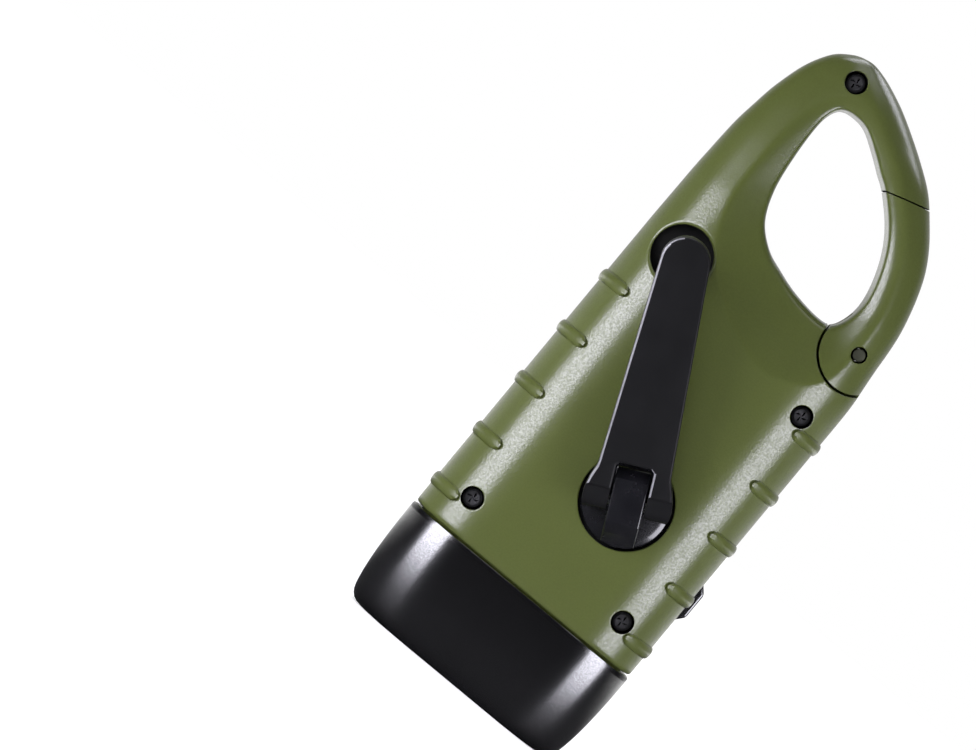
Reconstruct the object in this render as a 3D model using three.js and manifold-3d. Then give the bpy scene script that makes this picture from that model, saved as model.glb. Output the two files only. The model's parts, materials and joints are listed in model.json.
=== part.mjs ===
// A hand crank torch with a solar panel on one face and a carabiner at its tail.
// Millimetres, +Z up. The torch stands on the flat rim of its head, which is at Z = 0,
// and the carabiner's tip is the highest point. The crank faces -Y, the solar panel +Y,
// and the carabiner's gate and the push button are on the +X side.

import * as THREE from 'three';
import { mergeVertices } from 'three/addons/utils/BufferGeometryUtils.js';
import Module from 'manifold-3d';

const manifold = await Module();
manifold.setup();

// Overall form
const totalHeight = 140;
const bodyHalfWidth = 26;
const bodyHalfDepth = 15;
const sideRoundWidth = 11.5;
const sideFlatHalf = 2;
const wall = 2;

// Clearances
const seatGap = 0.3;
const runningGap = 0.4;
const boreGap = 0.3;
const overrun = 3;

// Head
const headHeight = 21.5;
const headFlare = 0.3;
const headRimInset = 4.2;
const rimThickness = 2.6;
const neckDepth = 7;
const neckWall = 1.6;
const windowInset = 9;
const windowHalfWidth = bodyHalfWidth - windowInset;
const windowHalfDepth = bodyHalfDepth / 2;
const lensLip = 2;
const lensPlate = 1.5;
const reflectorDepth = 8.3;
const cupInset = 6;
const cupSpacing = windowHalfWidth - cupInset;
const cupMouthRadius = cupSpacing / 2 - seatGap;
const cupThroatRadius = 2.1;
const ledRadius = 1.7;
const ledHeight = 3.2;
const ledBoardThickness = 1.2;

// Carabiner
const shoulderHeight = 84;
const hookHeight = totalHeight - shoulderHeight;
const hookFaceShare = 0.63333;
const hookFaceHalf = bodyHalfDepth * hookFaceShare;
const pinInset = 5.5;
const pinX = bodyHalfWidth - pinInset;
const pinRiseShare = 0.214286;
const pinZ = shoulderHeight + hookHeight * pinRiseShare;
const pinRadius = 1.2;
const pinRecess = 1.4;
const knuckleRadius = 7.6;
const lugRadius = 6.2;
const lugHalf = 2.25;
const lugPocketHalf = 1.5;
const springOuter = 3.7;
const springInner = 2;
const springHalf = 1.15;
const springWire = 0.7;
// The line where the gate's nose meets the hook, as shares of the half width and the hook's height
const noseOuterShares = [0.5, 0.735714];
const noseInnerShares = [0.192308, 0.692857];
const openingMiddleShares = [0.1, 0.45];
const noseOuter = [bodyHalfWidth * noseOuterShares[0], shoulderHeight + hookHeight * noseOuterShares[1]];
const noseInner = [bodyHalfWidth * noseInnerShares[0], shoulderHeight + hookHeight * noseInnerShares[1]];

// Grip ribs
const ribCount = 5;
const ribFirst = 27.5;
const ribPitch = 12.4;
const ribWidth = 2.6;
const ribTop = 1.8;
const ribProud = 0.6;
const ribLength = 5.5;
const ribInner = bodyHalfWidth - ribLength;

// Casing screws: two beside the head, one at the shoulder and one in the carabiner's tip
const headScrewInset = 7.8;
const headScrewHeight = 29.2;
const shoulderScrewInset = 6.5;
const shoulderScrewDrop = 3.8;
const tailScrewShare = 0.480769;
const tailScrewDrop = 5;
const screwPlaces = [
  [bodyHalfWidth - headScrewInset, headScrewHeight],
  [headScrewInset - bodyHalfWidth, headScrewHeight],
  [bodyHalfWidth - shoulderScrewInset, shoulderHeight - shoulderScrewDrop],
  [-bodyHalfWidth * tailScrewShare, totalHeight - tailScrewDrop],
];
const screwRecessRadius = 2.2;
const screwHeadRadius = 1.9;
const screwHeadHeight = 1.8;
const screwShankRadius = 1.15;
const screwDepth = 3.6;
const screwReach = 13.5;
const tailScrewReach = 9;
const bossRadius = 3.5;

// Crank
const hubX = 4.5;
const hubZ = 46.9;
const hubRadius = 8.7;
const hubProud = 1;
const hubTop = bodyHalfDepth + hubProud;
const hubRecess = 1.5;
const hubPad = 2.2;
const shaftRadius = 2.5;
const journalRadius = 1.3;
const bushRadius = 3.6;
const bushEndGap = 0.65;
const bushClearance = 0.1;
const armReach = 46.8;
const pocketInset = 9.1;
const pocketX = pocketInset - bodyHalfWidth;
const pocketLeadX = 0.7375;
const pocketLeadZ = 0.208;
const crankTurn = Math.asin((hubX - pocketX - pocketLeadX) / armReach);
const armLift = THREE.MathUtils.degToRad(8);
const armThickness = 3.6;
const armTipRadius = 4.7;
const armRootHalf = 7.1;
const armRootLength = 5;
const pivotRise = 2.6;
const lobeRadius = 2.2;
const lobeReach = 8.2;
const slotHalf = 3.6;
const slotLength = 7.5;
const tongueHalf = 3.25;
const tongueLength = 6.7;
const tongueRise = 1.6;
const tongueChamfer = 2.4;
const hingePinRadius = 0.9;
const knobRadius = 4;
const knobLength = 6;
const knobScrewRadius = 1.2;
const knobScrewHead = 2.2;
const knobScrewHeadHeight = 1.3;
const pocketZ = hubZ + armReach * Math.cos(crankTurn) + pocketLeadZ;
const pocketRadius = 5.9;
const pocketDepth = 6;
const pocketFloor = bodyHalfDepth - pocketDepth;

// Gear train: teeth, module and layers counted from the crank's side
const fineModule = 0.6;
const crankModule = 0.7;
const pinionTeeth = 10;
const crankTeeth = 30;
const idlerOneTeeth = 28;
const idlerTwoTeeth = 26;
const gearThicknessShare = 0.12;
const gearPitchShare = 0.173333;
const gearFirstShare = 0.693333;
const gearThickness = bodyHalfDepth * gearThicknessShare;
const gearLayerPitch = bodyHalfDepth * gearPitchShare;
const gearLayerFirst = -bodyHalfDepth * gearFirstShare;
const idlerOneAngle = THREE.MathUtils.degToRad(200);
const idlerTwoAngle = THREE.MathUtils.degToRad(95);
const rotorAngle = THREE.MathUtils.degToRad(60);
const idlerPinRadius = 0.75;
const shaftBossRadius = 2.2;
const shaftBossHeight = 2.1;
const plateThickness = 1.2;
const plateMargin = 3;
const plateY = gearLayerFirst + 3 * gearLayerPitch;
const postInset = 10.5;
const lowPostSide = 11;
const lowPostDrop = 10.4;
const middlePostHeight = 66;
const highPostHeight = 74;
const platePosts = [
  [hubX + lowPostSide, hubZ - lowPostDrop],
  [bodyHalfWidth - postInset, middlePostHeight],
  [postInset - bodyHalfWidth, highPostHeight],
];
const postRadius = 2.2;
const plateScrewRadius = 0.9;
const plateScrewHead = 1.7;
const plateScrewHeadHeight = 1.1;
const plateScrewLength = 6;

// Generator
const rotorRadius = 7.5;
const rotorLengthShare = 0.4;
const rotorLength = bodyHalfDepth * rotorLengthShare;
const rotorShaftRadius = 1;
const statorRadius = 11;
const statorWall = 1;
const coilEndGap = 2;
const coilLength = rotorLength - coilEndGap;
const coverThickness = 1;

// Solar panel
const frameInset = 9.4;
const frameHalfWidth = bodyHalfWidth - frameInset;
const frameBottom = 27.8;
const frameTop = 78.6;
const frameBulge = 2.2;
const frameCorner = 2.6;
const frameRise = 2.3;
const frameSlope = 2.2;
const frameSeat = 0.7;
const frameBossInset = 3.2;
const frameBossDepth = 1.8;
const windowSide = 5.55;
const windowHalf = frameHalfWidth - windowSide;
const windowBottom = 33;
const windowTop = 73;
const windowCorner = 1.8;
const windowSunk = 0.5;
const windowThickness = 0.8;
const cellThickness = 0.8;
const cellLedge = 2;

// Push button
const buttonZ = 39.8;
const buttonY = 3.7;
const buttonHalfLength = 4.8;
const buttonTopHalf = 2.7;
const buttonHalfDepth = 3.2;
const buttonProud = 1.4;
const buttonFlange = 1.5;
const buttonFlangeLip = 1.2;
const buttonTravel = 0.8;
const switchSize = 6;
const switchDepth = 3.4;
const plungerRadius = 1.6;
const plungerLength = 0.8;

// Battery and circuit board
const cellCount = 3;
const cellRadius = 5.6;
const batteryInset = 13.4;
const cellLength = (2 * (bodyHalfWidth - batteryInset) - (cellCount - 1) * seatGap) / cellCount;
const sleeveWall = 0.4;
const batteryY = 1.6;
const batteryZ = 28.4;
const cradleThickness = 1.5;
const cradleHalf = 3;
const cradleX = 8.2;
const boardShare = 0.573333;
const boardY = bodyHalfDepth * boardShare;
const boardThickness = 1.2;
const boardLeftInset = 7.8;
const boardRightInset = 5.6;
const boardLeft = boardLeftInset - bodyHalfWidth;
const boardRight = bodyHalfWidth - boardRightInset;
const boardBottom = 35;
const boardTop = 76;
const boardPostSide = 9.7;
const boardPostX = bodyHalfWidth - boardPostSide;
const boardPostInset = 2.6;
const boardPostRadius = 1.5;
const wireRadius = 0.55;

// The gate's sweep round its pin and the web that carries its lug, from +X towards +Z
const sweepStart = 135;
const sweepEnd = 312;
const webStart = 180;
const webEnd = 300;

// Fineness of round forms
const cornerSteps = 5;
const fineSides = 28;
const roundSides = 20;
const smallSides = 12;
const wireSides = 8;
const weldDistance = 1e-4;

// Shares of the hook's height, of the body's half width at the gate side and at the far side,
// and of the body's half depth, from the shoulder to the tip
const hookFormShares = [
  [0, 1, -1, 1],
  [0.071, 0.996, -1, 0.99],
  [0.143, 0.981, -1, 0.98],
  [0.214, 0.965, -0.998, 0.96],
  [0.286, 0.954, -0.996, 0.94],
  [0.357, 0.931, -0.996, 0.92],
  [0.429, 0.892, -0.994, 0.89],
  [0.5, 0.842, -0.992, 0.86],
  [0.571, 0.777, -0.985, 0.83],
  [0.643, 0.681, -0.965, 0.8],
  [0.714, 0.558, -0.942, 0.77],
  [0.786, 0.412, -0.908, 0.73],
  [0.848, 0.227, -0.865, 0.69],
  [0.902, 0.038, -0.812, 0.63],
  [0.946, -0.135, -0.746, 0.55],
  [0.979, -0.292, -0.654, 0.45],
  [0.993, -0.385, -0.585, 0.38],
  [1, -0.455, -0.51, 0.3],
];

// The carabiner's opening and the crease round its dished face: each row holds a point of the
// opening, then the crease's point beside it, as shares of the body's half width and the hook's height
const openingShares = [
  [0.508, 0.241, 0.731, 0.089],
  [0.392, 0.227, 0.5, -0.009],
  [0.162, 0.241, 0.269, -0.03],
  [-0.031, 0.268, -0.038, 0.018],
  [-0.188, 0.298, -0.327, 0.095],
  [-0.342, 0.363, -0.519, 0.196],
  [-0.435, 0.464, -0.646, 0.339],
  [-0.477, 0.589, -0.677, 0.5],
  [-0.492, 0.714, -0.677, 0.696],
  [-0.473, 0.777, -0.627, 0.812],
  [-0.419, 0.812, -0.519, 0.875],
  [-0.323, 0.821, -0.346, 0.893],
  [-0.208, 0.812, -0.154, 0.875],
  [-0.052, 0.768, 0.038, 0.821],
  [0.065, 0.729, 0.173, 0.773],
  [0.181, 0.691, 0.308, 0.723],
  [0.358, 0.607, 0.508, 0.634],
  [0.477, 0.518, 0.638, 0.536],
  [0.558, 0.411, 0.738, 0.411],
  [0.573, 0.321, 0.769, 0.268],
];
const openingDraftShare = 0.08;
const openingSamples = 40;

// The head's form: shares of its height and of the rim's inset
const headFormShares = [
  [0, 1],
  [0.03, 0.62],
  [0.1, 0.38],
  [0.25, 0.22],
  [0.5, 0.1],
  [1, 0],
];

// A corner never takes more than this share of a section's width
const roundLimitShare = 0.48;

// Gear teeth: shares of the module, and the tooth's share of half its pitch
const addendumShare = 0.9;
const dedendumShare = 1.25;
const toothShare = 0.8;
const pressureAngle = THREE.MathUtils.degToRad(20);

const headHalfWidth = bodyHalfWidth + headFlare;
const headHalfDepth = bodyHalfDepth + headFlare;
const bodyBottom = headHeight + seatGap;

const olive = { color: 0x6d7240, roughness: 0.5, metalness: 0 };
const black = { color: 0x17171a, roughness: 0.45, metalness: 0 };
const glossBlack = { color: 0x0d0d0f, roughness: 0.2, metalness: 0 };
const steel = { color: 0xb9bcc0, roughness: 0.3, metalness: 1 };
const darkSteel = { color: 0x2b2b2e, roughness: 0.4, metalness: 1 };
const brass = { color: 0xb8934a, roughness: 0.35, metalness: 1 };
const chrome = { color: 0xe4e6ea, roughness: 0.08, metalness: 1 };
const copper = { color: 0xb06a3c, roughness: 0.4, metalness: 1 };
const clear = { color: 0xe8eef2, roughness: 0.05, metalness: 0, transparent: true, opacity: 0.35 };
const panel = { color: 0x4d201c, roughness: 0.3, metalness: 0 };
const board = { color: 0x2f6b3a, roughness: 0.5, metalness: 0 };
const ledWhite = { color: 0xf2f0d8, roughness: 0.2, metalness: 0 };
const gearWhite = { color: 0xe6e4dc, roughness: 0.5, metalness: 0 };
const sleeveGreen = { color: 0x3f8a56, roughness: 0.4, metalness: 0 };
const wireRed = { color: 0xa3201c, roughness: 0.5, metalness: 0 };
const wireBlack = { color: 0x1a1a1a, roughness: 0.5, metalness: 0 };

const torch = new THREE.Group();

// A closed geometry's signed volume
function signedVolume(geometry) {
  const places = geometry.getAttribute('position');
  const a = new THREE.Vector3();
  const b = new THREE.Vector3();
  const c = new THREE.Vector3();
  let total = 0;
  for (let i = 0; i < geometry.index.count; i += 3) {
    a.fromBufferAttribute(places, geometry.index.getX(i));
    b.fromBufferAttribute(places, geometry.index.getX(i + 1));
    c.fromBufferAttribute(places, geometry.index.getX(i + 2));
    total += a.dot(b.cross(c));
  }
  return total;
}

// A solid from a closed geometry, with its faces pointing out
function solid(geometry) {
  const bare = new THREE.BufferGeometry();
  bare.setAttribute('position', geometry.getAttribute('position'));
  bare.setIndex(geometry.index);
  const merged = mergeVertices(bare, weldDistance);
  const flip = signedVolume(merged) < 0;
  const triangles = [];
  for (let i = 0; i < merged.index.count; i += 3) {
    const a = merged.index.getX(i);
    const b = merged.index.getX(i + 1);
    const c = merged.index.getX(i + 2);
    if (a === b || b === c || c === a) continue;
    triangles.push(...(flip ? [a, c, b] : [a, b, c]));
  }
  const vertProperties = new Float32Array(merged.getAttribute('position').array);
  const triVerts = new Uint32Array(triangles);
  return new manifold.Manifold(new manifold.Mesh({ numProp: 3, vertProperties, triVerts }));
}

function geometryOf(shape) {
  const mesh = shape.getMesh();
  const geometry = new THREE.BufferGeometry();
  geometry.setAttribute('position', new THREE.BufferAttribute(mesh.vertProperties, 3));
  geometry.setIndex(new THREE.BufferAttribute(mesh.triVerts, 1));
  geometry.computeVertexNormals();
  return geometry;
}

function join(first, ...others) {
  return others.reduce((whole, other) => whole.add(other), first);
}

function cut(first, ...others) {
  return others.reduce((whole, other) => whole.subtract(other), first);
}

// Adds a named mesh to a group
function addPart(name, shape, finish, parent = torch) {
  const mesh = new THREE.Mesh(geometryOf(shape), new THREE.MeshStandardMaterial(finish));
  mesh.name = name;
  parent.add(mesh);
  return mesh;
}

// A solid skinned over rings with equal counts of points, capped at both ends
function loft(rings) {
  const count = rings[0].length;
  const places = [];
  const index = [];
  for (const ring of rings) {
    for (const point of ring) places.push(point.x, point.y, point.z);
  }
  for (let r = 0; r + 1 < rings.length; r += 1) {
    for (let i = 0; i < count; i += 1) {
      const a = r * count + i;
      const b = r * count + ((i + 1) % count);
      index.push(a, b, b + count);
      index.push(a, b + count, a + count);
    }
  }
  const ends = [0, rings.length - 1];
  for (const end of ends) {
    const middle = new THREE.Vector3();
    for (const point of rings[end]) middle.addScaledVector(point, 1 / count);
    const hub = places.length / 3;
    places.push(middle.x, middle.y, middle.z);
    for (let i = 0; i < count; i += 1) {
      const a = end * count + i;
      const b = end * count + ((i + 1) % count);
      index.push(...(end === 0 ? [hub, b, a] : [hub, a, b]));
    }
  }
  const geometry = new THREE.BufferGeometry();
  geometry.setAttribute('position', new THREE.Float32BufferAttribute(places, 3));
  geometry.setIndex(index);
  return solid(geometry);
}

// A rounded section across the torch, level at a height
function sectionRing(left, right, halfDepth, roundWidth, flatHalf, height) {
  const roundX = Math.min(roundWidth, roundLimitShare * (right - left));
  const flat = Math.min(flatHalf, halfDepth / 2);
  const roundY = halfDepth - flat;
  const corners = [
    [right - roundX, flat, 0],
    [left + roundX, flat, Math.PI / 2],
    [left + roundX, -flat, Math.PI],
    [right - roundX, -flat, 1.5 * Math.PI],
  ];
  const ring = [];
  for (const [x, y, start] of corners) {
    for (let i = 0; i <= cornerSteps; i += 1) {
      const angle = start + (i / cornerSteps) * (Math.PI / 2);
      ring.push(new THREE.Vector3(x + roundX * Math.cos(angle), y + roundY * Math.sin(angle), height));
    }
  }
  return ring;
}

// The torch's section at the body, drawn in or let out by an offset
function bodyRing(offset, height) {
  const reach = bodyHalfWidth + offset;
  return sectionRing(-reach, reach, bodyHalfDepth + offset, sideRoundWidth + offset, sideFlatHalf, height);
}

// A box between two corners
function block(low, high) {
  const size = new THREE.Vector3(high[0] - low[0], high[1] - low[1], high[2] - low[2]);
  const geometry = new THREE.BoxGeometry(size.x, size.y, size.z);
  geometry.translate(low[0] + size.x / 2, low[1] + size.y / 2, low[2] + size.z / 2);
  return solid(geometry);
}

// A round bar along Y between two depths
function rod(radius, from, to, x, z, sides = roundSides, endRadius = radius) {
  const geometry = new THREE.CylinderGeometry(endRadius, radius, to - from, sides);
  geometry.translate(x, (from + to) / 2, z);
  return solid(geometry);
}

// A round bar along Z between two heights
function post(radius, from, to, x, y, sides = roundSides, endRadius = radius) {
  const geometry = new THREE.CylinderGeometry(endRadius, radius, to - from, sides);
  geometry.rotateX(Math.PI / 2);
  geometry.translate(x, y, (from + to) / 2);
  return solid(geometry);
}

// A round bar along X between two places
function bar(radius, from, to, y, z, sides = roundSides) {
  const geometry = new THREE.CylinderGeometry(radius, radius, to - from, sides);
  geometry.rotateZ(Math.PI / 2);
  geometry.translate((from + to) / 2, y, z);
  return solid(geometry);
}

// A flat shape drawn in X and Z, extruded along Y between two depths
function slab(shape, from, to, curveSegments = cornerSteps) {
  const geometry = new THREE.ExtrudeGeometry(shape, { depth: to - from, bevelEnabled: false, curveSegments });
  geometry.rotateX(Math.PI / 2);
  geometry.translate(0, to, 0);
  return solid(geometry);
}

// A flat shape drawn in X and Y, extruded upwards between two heights
function tile(shape, from, to, curveSegments = cornerSteps) {
  const geometry = new THREE.ExtrudeGeometry(shape, { depth: to - from, bevelEnabled: false, curveSegments });
  geometry.translate(0, 0, from);
  return solid(geometry);
}

// A turned ring about Y, from its profile in radius and depth
function turned(profile, x, z, sides = fineSides) {
  const points = profile.map(([radius, depth]) => new THREE.Vector2(radius, depth));
  points.push(points[0].clone());
  const geometry = new THREE.LatheGeometry(points, sides);
  geometry.translate(x, 0, z);
  return solid(geometry);
}

function polygon(points) {
  return new THREE.Shape(points.map(([x, y]) => new THREE.Vector2(x, y)));
}

// A rectangle with rounded corners, between two corners
function roundedRectangle(left, bottom, right, top, radius) {
  const shape = new THREE.Shape();
  shape.moveTo(left + radius, bottom);
  shape.lineTo(right - radius, bottom);
  shape.absarc(right - radius, bottom + radius, radius, -Math.PI / 2, 0);
  shape.lineTo(right, top - radius);
  shape.absarc(right - radius, top - radius, radius, 0, Math.PI / 2);
  shape.lineTo(left + radius, top);
  shape.absarc(left + radius, top - radius, radius, Math.PI / 2, Math.PI);
  shape.lineTo(left, bottom + radius);
  shape.absarc(left + radius, bottom + radius, radius, Math.PI, 1.5 * Math.PI);
  return shape;
}

// A shape with straight sides and round ends, centred on the axis
function stadium(halfWidth, halfDepth) {
  return roundedRectangle(-halfWidth, -halfDepth, halfWidth, halfDepth, halfDepth);
}

// The hook's sections, as real sizes
function hookSections() {
  return hookFormShares.map(([rise, right, left, depth]) => ({
    height: shoulderHeight + rise * hookHeight,
    right: right * bodyHalfWidth,
    left: left * bodyHalfWidth,
    depth: depth * bodyHalfDepth,
  }));
}

// The casing's outer form without its ribs
function casingForm() {
  const rings = [bodyRing(0, bodyBottom)];
  for (const { height, right, left, depth } of hookSections()) {
    rings.push(sectionRing(left, right, depth, sideRoundWidth, sideFlatHalf, height));
  }
  return loft(rings);
}

// How far the casing's form stands out from the middle plane at a place
function formDepthAt(x, z) {
  const sections = hookSections();
  const body = { height: bodyBottom, right: bodyHalfWidth, left: -bodyHalfWidth, depth: bodyHalfDepth };
  const rows = [body, ...sections];
  const upper = Math.max(1, rows.findIndex((row) => row.height >= z));
  const low = rows[upper - 1];
  const high = rows[upper];
  const share = (z - low.height) / (high.height - low.height);
  const right = THREE.MathUtils.lerp(low.right, high.right, share);
  const left = THREE.MathUtils.lerp(low.left, high.left, share);
  const depth = THREE.MathUtils.lerp(low.depth, high.depth, share);
  const round = Math.min(sideRoundWidth, roundLimitShare * (right - left));
  const past = Math.max(0, x - (right - round), left + round - x) / round;
  const roundY = depth - sideFlatHalf;
  return sideFlatHalf + roundY * Math.sqrt(Math.max(0, 1 - past * past));
}

// The opening's outline, part of the way out to the crease
function openingRing(share, depthAt) {
  const inner = openingShares.map(([x, z]) => new THREE.Vector3(x * bodyHalfWidth, 0, z * hookHeight));
  const outer = openingShares.map(([, , x, z]) => new THREE.Vector3(x * bodyHalfWidth, 0, z * hookHeight));
  const innerCurve = new THREE.CatmullRomCurve3(inner, true);
  const outerCurve = new THREE.CatmullRomCurve3(outer, true);
  const ring = [];
  for (let i = 0; i < openingSamples; i += 1) {
    const point = innerCurve.getPoint(i / openingSamples);
    point.lerp(outerCurve.getPoint(i / openingSamples), share);
    point.z += shoulderHeight;
    point.y = depthAt(point.x, point.z);
    ring.push(point);
  }
  return ring;
}

// What the opening and its dished faces take out of the casing
function openingCut() {
  const clearDepth = bodyHalfDepth + overrun;
  const side = (sign) => [
    openingRing(1, () => sign * clearDepth),
    openingRing(1, (x, z) => sign * formDepthAt(x, z)),
    openingRing(openingDraftShare, () => sign * hookFaceHalf),
  ];
  return loft([...side(-1), openingRing(0, () => 0), ...side(1).reverse()]);
}

// The gate's side of the carabiner, let out by a gap where the gate meets the hook and the knuckle
function gateRegion(gap) {
  const along = new THREE.Vector2(noseOuter[0] - noseInner[0], noseOuter[1] - noseInner[1]).normalize();
  const shift = new THREE.Vector2(-along.y, along.x).multiplyScalar(gap);
  const spread = knuckleRadius;
  const inner = [noseInner[0] - along.x * lensLip + shift.x, noseInner[1] - along.y * lensLip + shift.y];
  const outer = [noseOuter[0] + along.x * spread + shift.x, noseOuter[1] + along.y * spread + shift.y];
  const outside = bodyHalfWidth + overrun;
  const shape = polygon([
    inner,
    outer,
    [outside, outer[1]],
    [outside, pinZ],
    [pinX, pinZ],
    [pinX - knuckleRadius, pinZ + springInner],
    [bodyHalfWidth * openingMiddleShares[0], shoulderHeight + hookHeight * openingMiddleShares[1]],
  ]);
  const clearDepth = bodyHalfDepth + overrun;
  const knuckle = rod(knuckleRadius + gap, -clearDepth, clearDepth, pinX, pinZ, fineSides);
  return join(slab(shape, -clearDepth, clearDepth), knuckle);
}

// A sector about the gate's pin, between two angles from +X towards +Z
function pinSector(radius, fromAngle, toAngle, from, to) {
  const shape = new THREE.Shape();
  shape.moveTo(pinX, pinZ);
  shape.absarc(pinX, pinZ, radius, THREE.MathUtils.degToRad(fromAngle), THREE.MathUtils.degToRad(toAngle));
  return slab(shape, from, to, smallSides);
}

function makeGate(form) {
  const clearDepth = bodyHalfDepth + overrun;
  const slotLimit = lugHalf + runningGap;
  const slotRadius = lugRadius + runningGap;
  const cheeks = form.intersect(gateRegion(0));
  const slot = join(
    rod(slotRadius, -slotLimit, slotLimit, pinX, pinZ, fineSides),
    pinSector(knuckleRadius + overrun, sweepStart, sweepEnd, -slotLimit, slotLimit),
  );
  const bore = rod(pinRadius + boreGap, -clearDepth, clearDepth, pinX, pinZ);
  addPart('gate', cut(cheeks, slot, bore), olive);
}

function makeGatePinAndSpring() {
  const reach = formDepthAt(pinX, pinZ) - pinRecess;
  addPart('gate_pin', rod(pinRadius, -reach, reach, pinX, pinZ), steel);
  const ring = turned([
    [springInner, -springHalf],
    [springOuter, -springHalf],
    [springOuter, springHalf],
    [springInner, springHalf],
  ], pinX, pinZ, roundSides);
  const legHalf = springWire / 2;
  const gateLeg = block(
    [pinX - legHalf, -legHalf, pinZ + springInner],
    [pinX + legHalf, legHalf, pinZ + lugRadius],
  );
  const lugLeg = block(
    [pinX - legHalf, -legHalf, pinZ - lugRadius + springWire],
    [pinX + legHalf, legHalf, pinZ - springInner],
  );
  addPart('gate_spring', join(ring, gateLeg, lugLeg), steel);
}

// The casing's lug that carries the gate's pin, whole, before the shells are parted
function gateLug(form) {
  const tongue = join(
    rod(lugRadius, -lugHalf, lugHalf, pinX, pinZ, fineSides),
    pinSector(knuckleRadius + 2 * runningGap, webStart, webEnd, -lugHalf, lugHalf),
  );
  const pocketRound = springOuter + runningGap;
  const pocket = rod(pocketRound, -lugPocketHalf, lugPocketHalf, pinX, pinZ, fineSides);
  const legHalf = springWire / 2 + seatGap;
  const legSlot = block(
    [pinX - legHalf, -legHalf, pinZ - lugRadius],
    [pinX + legHalf, legHalf, pinZ + lugRadius + overrun],
  );
  const bore = rod(pinRadius + boreGap, -overrun, overrun, pinX, pinZ);
  return cut(tongue.intersect(form), pocket, legSlot, bore);
}

function gripRibs() {
  const inner = ribInner;
  const reach = bodyHalfWidth + overrun;
  const bands = [];
  for (let i = 0; i < ribCount; i += 1) {
    const middle = ribFirst + i * ribPitch;
    const band = loft([
      bodyRing(-wall / 2, middle - ribWidth / 2),
      bodyRing(0, middle - ribWidth / 2),
      bodyRing(ribProud, middle - ribTop / 2),
      bodyRing(ribProud, middle + ribTop / 2),
      bodyRing(0, middle + ribWidth / 2),
      bodyRing(-wall / 2, middle + ribWidth / 2),
    ]);
    const centre = block([-inner, -reach, middle - ribWidth], [inner, reach, middle + ribWidth]);
    bands.push(cut(band, centre));
  }
  return join(...bands);
}

// The hollow inside the casing and its neck
function casingHollow() {
  const top = shoulderHeight - 1.5 * wall;
  const neckInset = headFlare - wall - seatGap - neckWall;
  const neckBottom = headHeight - neckDepth;
  return join(
    loft([bodyRing(-wall, bodyBottom + wall), bodyRing(-wall, top)]),
    loft([bodyRing(neckInset, neckBottom - overrun), bodyRing(neckInset, bodyBottom + wall + overrun)]),
  );
}

function casingNeck() {
  const inset = headFlare - wall - seatGap;
  return loft([bodyRing(inset, headHeight - neckDepth), bodyRing(inset, bodyBottom + wall)]);
}

// Where a casing screw's head sits, measured from the middle plane
function screwSeat(x, z) {
  return formDepthAt(x, z) - screwDepth;
}

function screwLength(place) {
  return place === screwPlaces[screwPlaces.length - 1] ? tailScrewReach : screwReach;
}

function gearCentres() {
  const step = (from, reach, angle) => [from[0] + reach * Math.cos(angle), from[1] + reach * Math.sin(angle)];
  const crank = [hubX, hubZ];
  const idlerOne = step(crank, (crankModule * (crankTeeth + pinionTeeth)) / 2, idlerOneAngle);
  const idlerTwo = step(idlerOne, (fineModule * (idlerOneTeeth + pinionTeeth)) / 2, idlerTwoAngle);
  const rotor = step(idlerTwo, (fineModule * (idlerTwoTeeth + pinionTeeth)) / 2, rotorAngle);
  return { crank, idlerOne, idlerTwo, rotor };
}

function makeShells(form) {
  const whole = cut(
    join(form, gripRibs(), casingNeck()),
    casingHollow(),
    openingCut(),
    gateRegion(runningGap),
  );
  const cased = join(whole, gateLug(form));
  const reach = bodyHalfWidth + 2 * overrun;
  const clearDepth = bodyHalfDepth + 2 * overrun;
  const halfGap = seatGap / 2;
  const top = totalHeight + overrun;
  const frontHalf = block([-reach, halfGap, -overrun], [reach, clearDepth, top]);
  const rearHalf = block([-reach, -clearDepth, -overrun], [reach, -halfGap, top]);
  makeFrontShell(cased.intersect(frontHalf), form.intersect(frontHalf));
  makeRearShell(cased.intersect(rearHalf), form.intersect(rearHalf));
}

function makeFrontShell(half, form) {
  const clearDepth = bodyHalfDepth + overrun;
  let shell = half;
  for (const place of screwPlaces) {
    const [x, z] = place;
    const tip = screwLength(place) - screwSeat(x, z) + seatGap;
    if (z < shoulderHeight) shell = join(shell, rod(bossRadius, seatGap / 2, clearDepth, x, z).intersect(form));
    shell = cut(shell, rod(screwShankRadius + boreGap, -seatGap, tip, x, z, smallSides));
  }
  const postTop = boardY + boardThickness + seatGap;
  for (const x of [-boardPostX, boardPostX]) {
    for (const z of [boardBottom + boardPostInset, boardTop - boardPostInset]) {
      shell = join(shell, rod(boardPostRadius, postTop, clearDepth, x, z, smallSides).intersect(form));
    }
  }
  const seat = slab(frameOutline(-seatGap), bodyHalfDepth - frameSeat - seatGap, clearDepth);
  const hole = slab(frameBossOutline(-seatGap), bodyHalfDepth - 2 * wall, clearDepth);
  shell = cut(shell, seat, hole, buttonSlot());
  addPart('front_shell', shell, olive);
}

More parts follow.
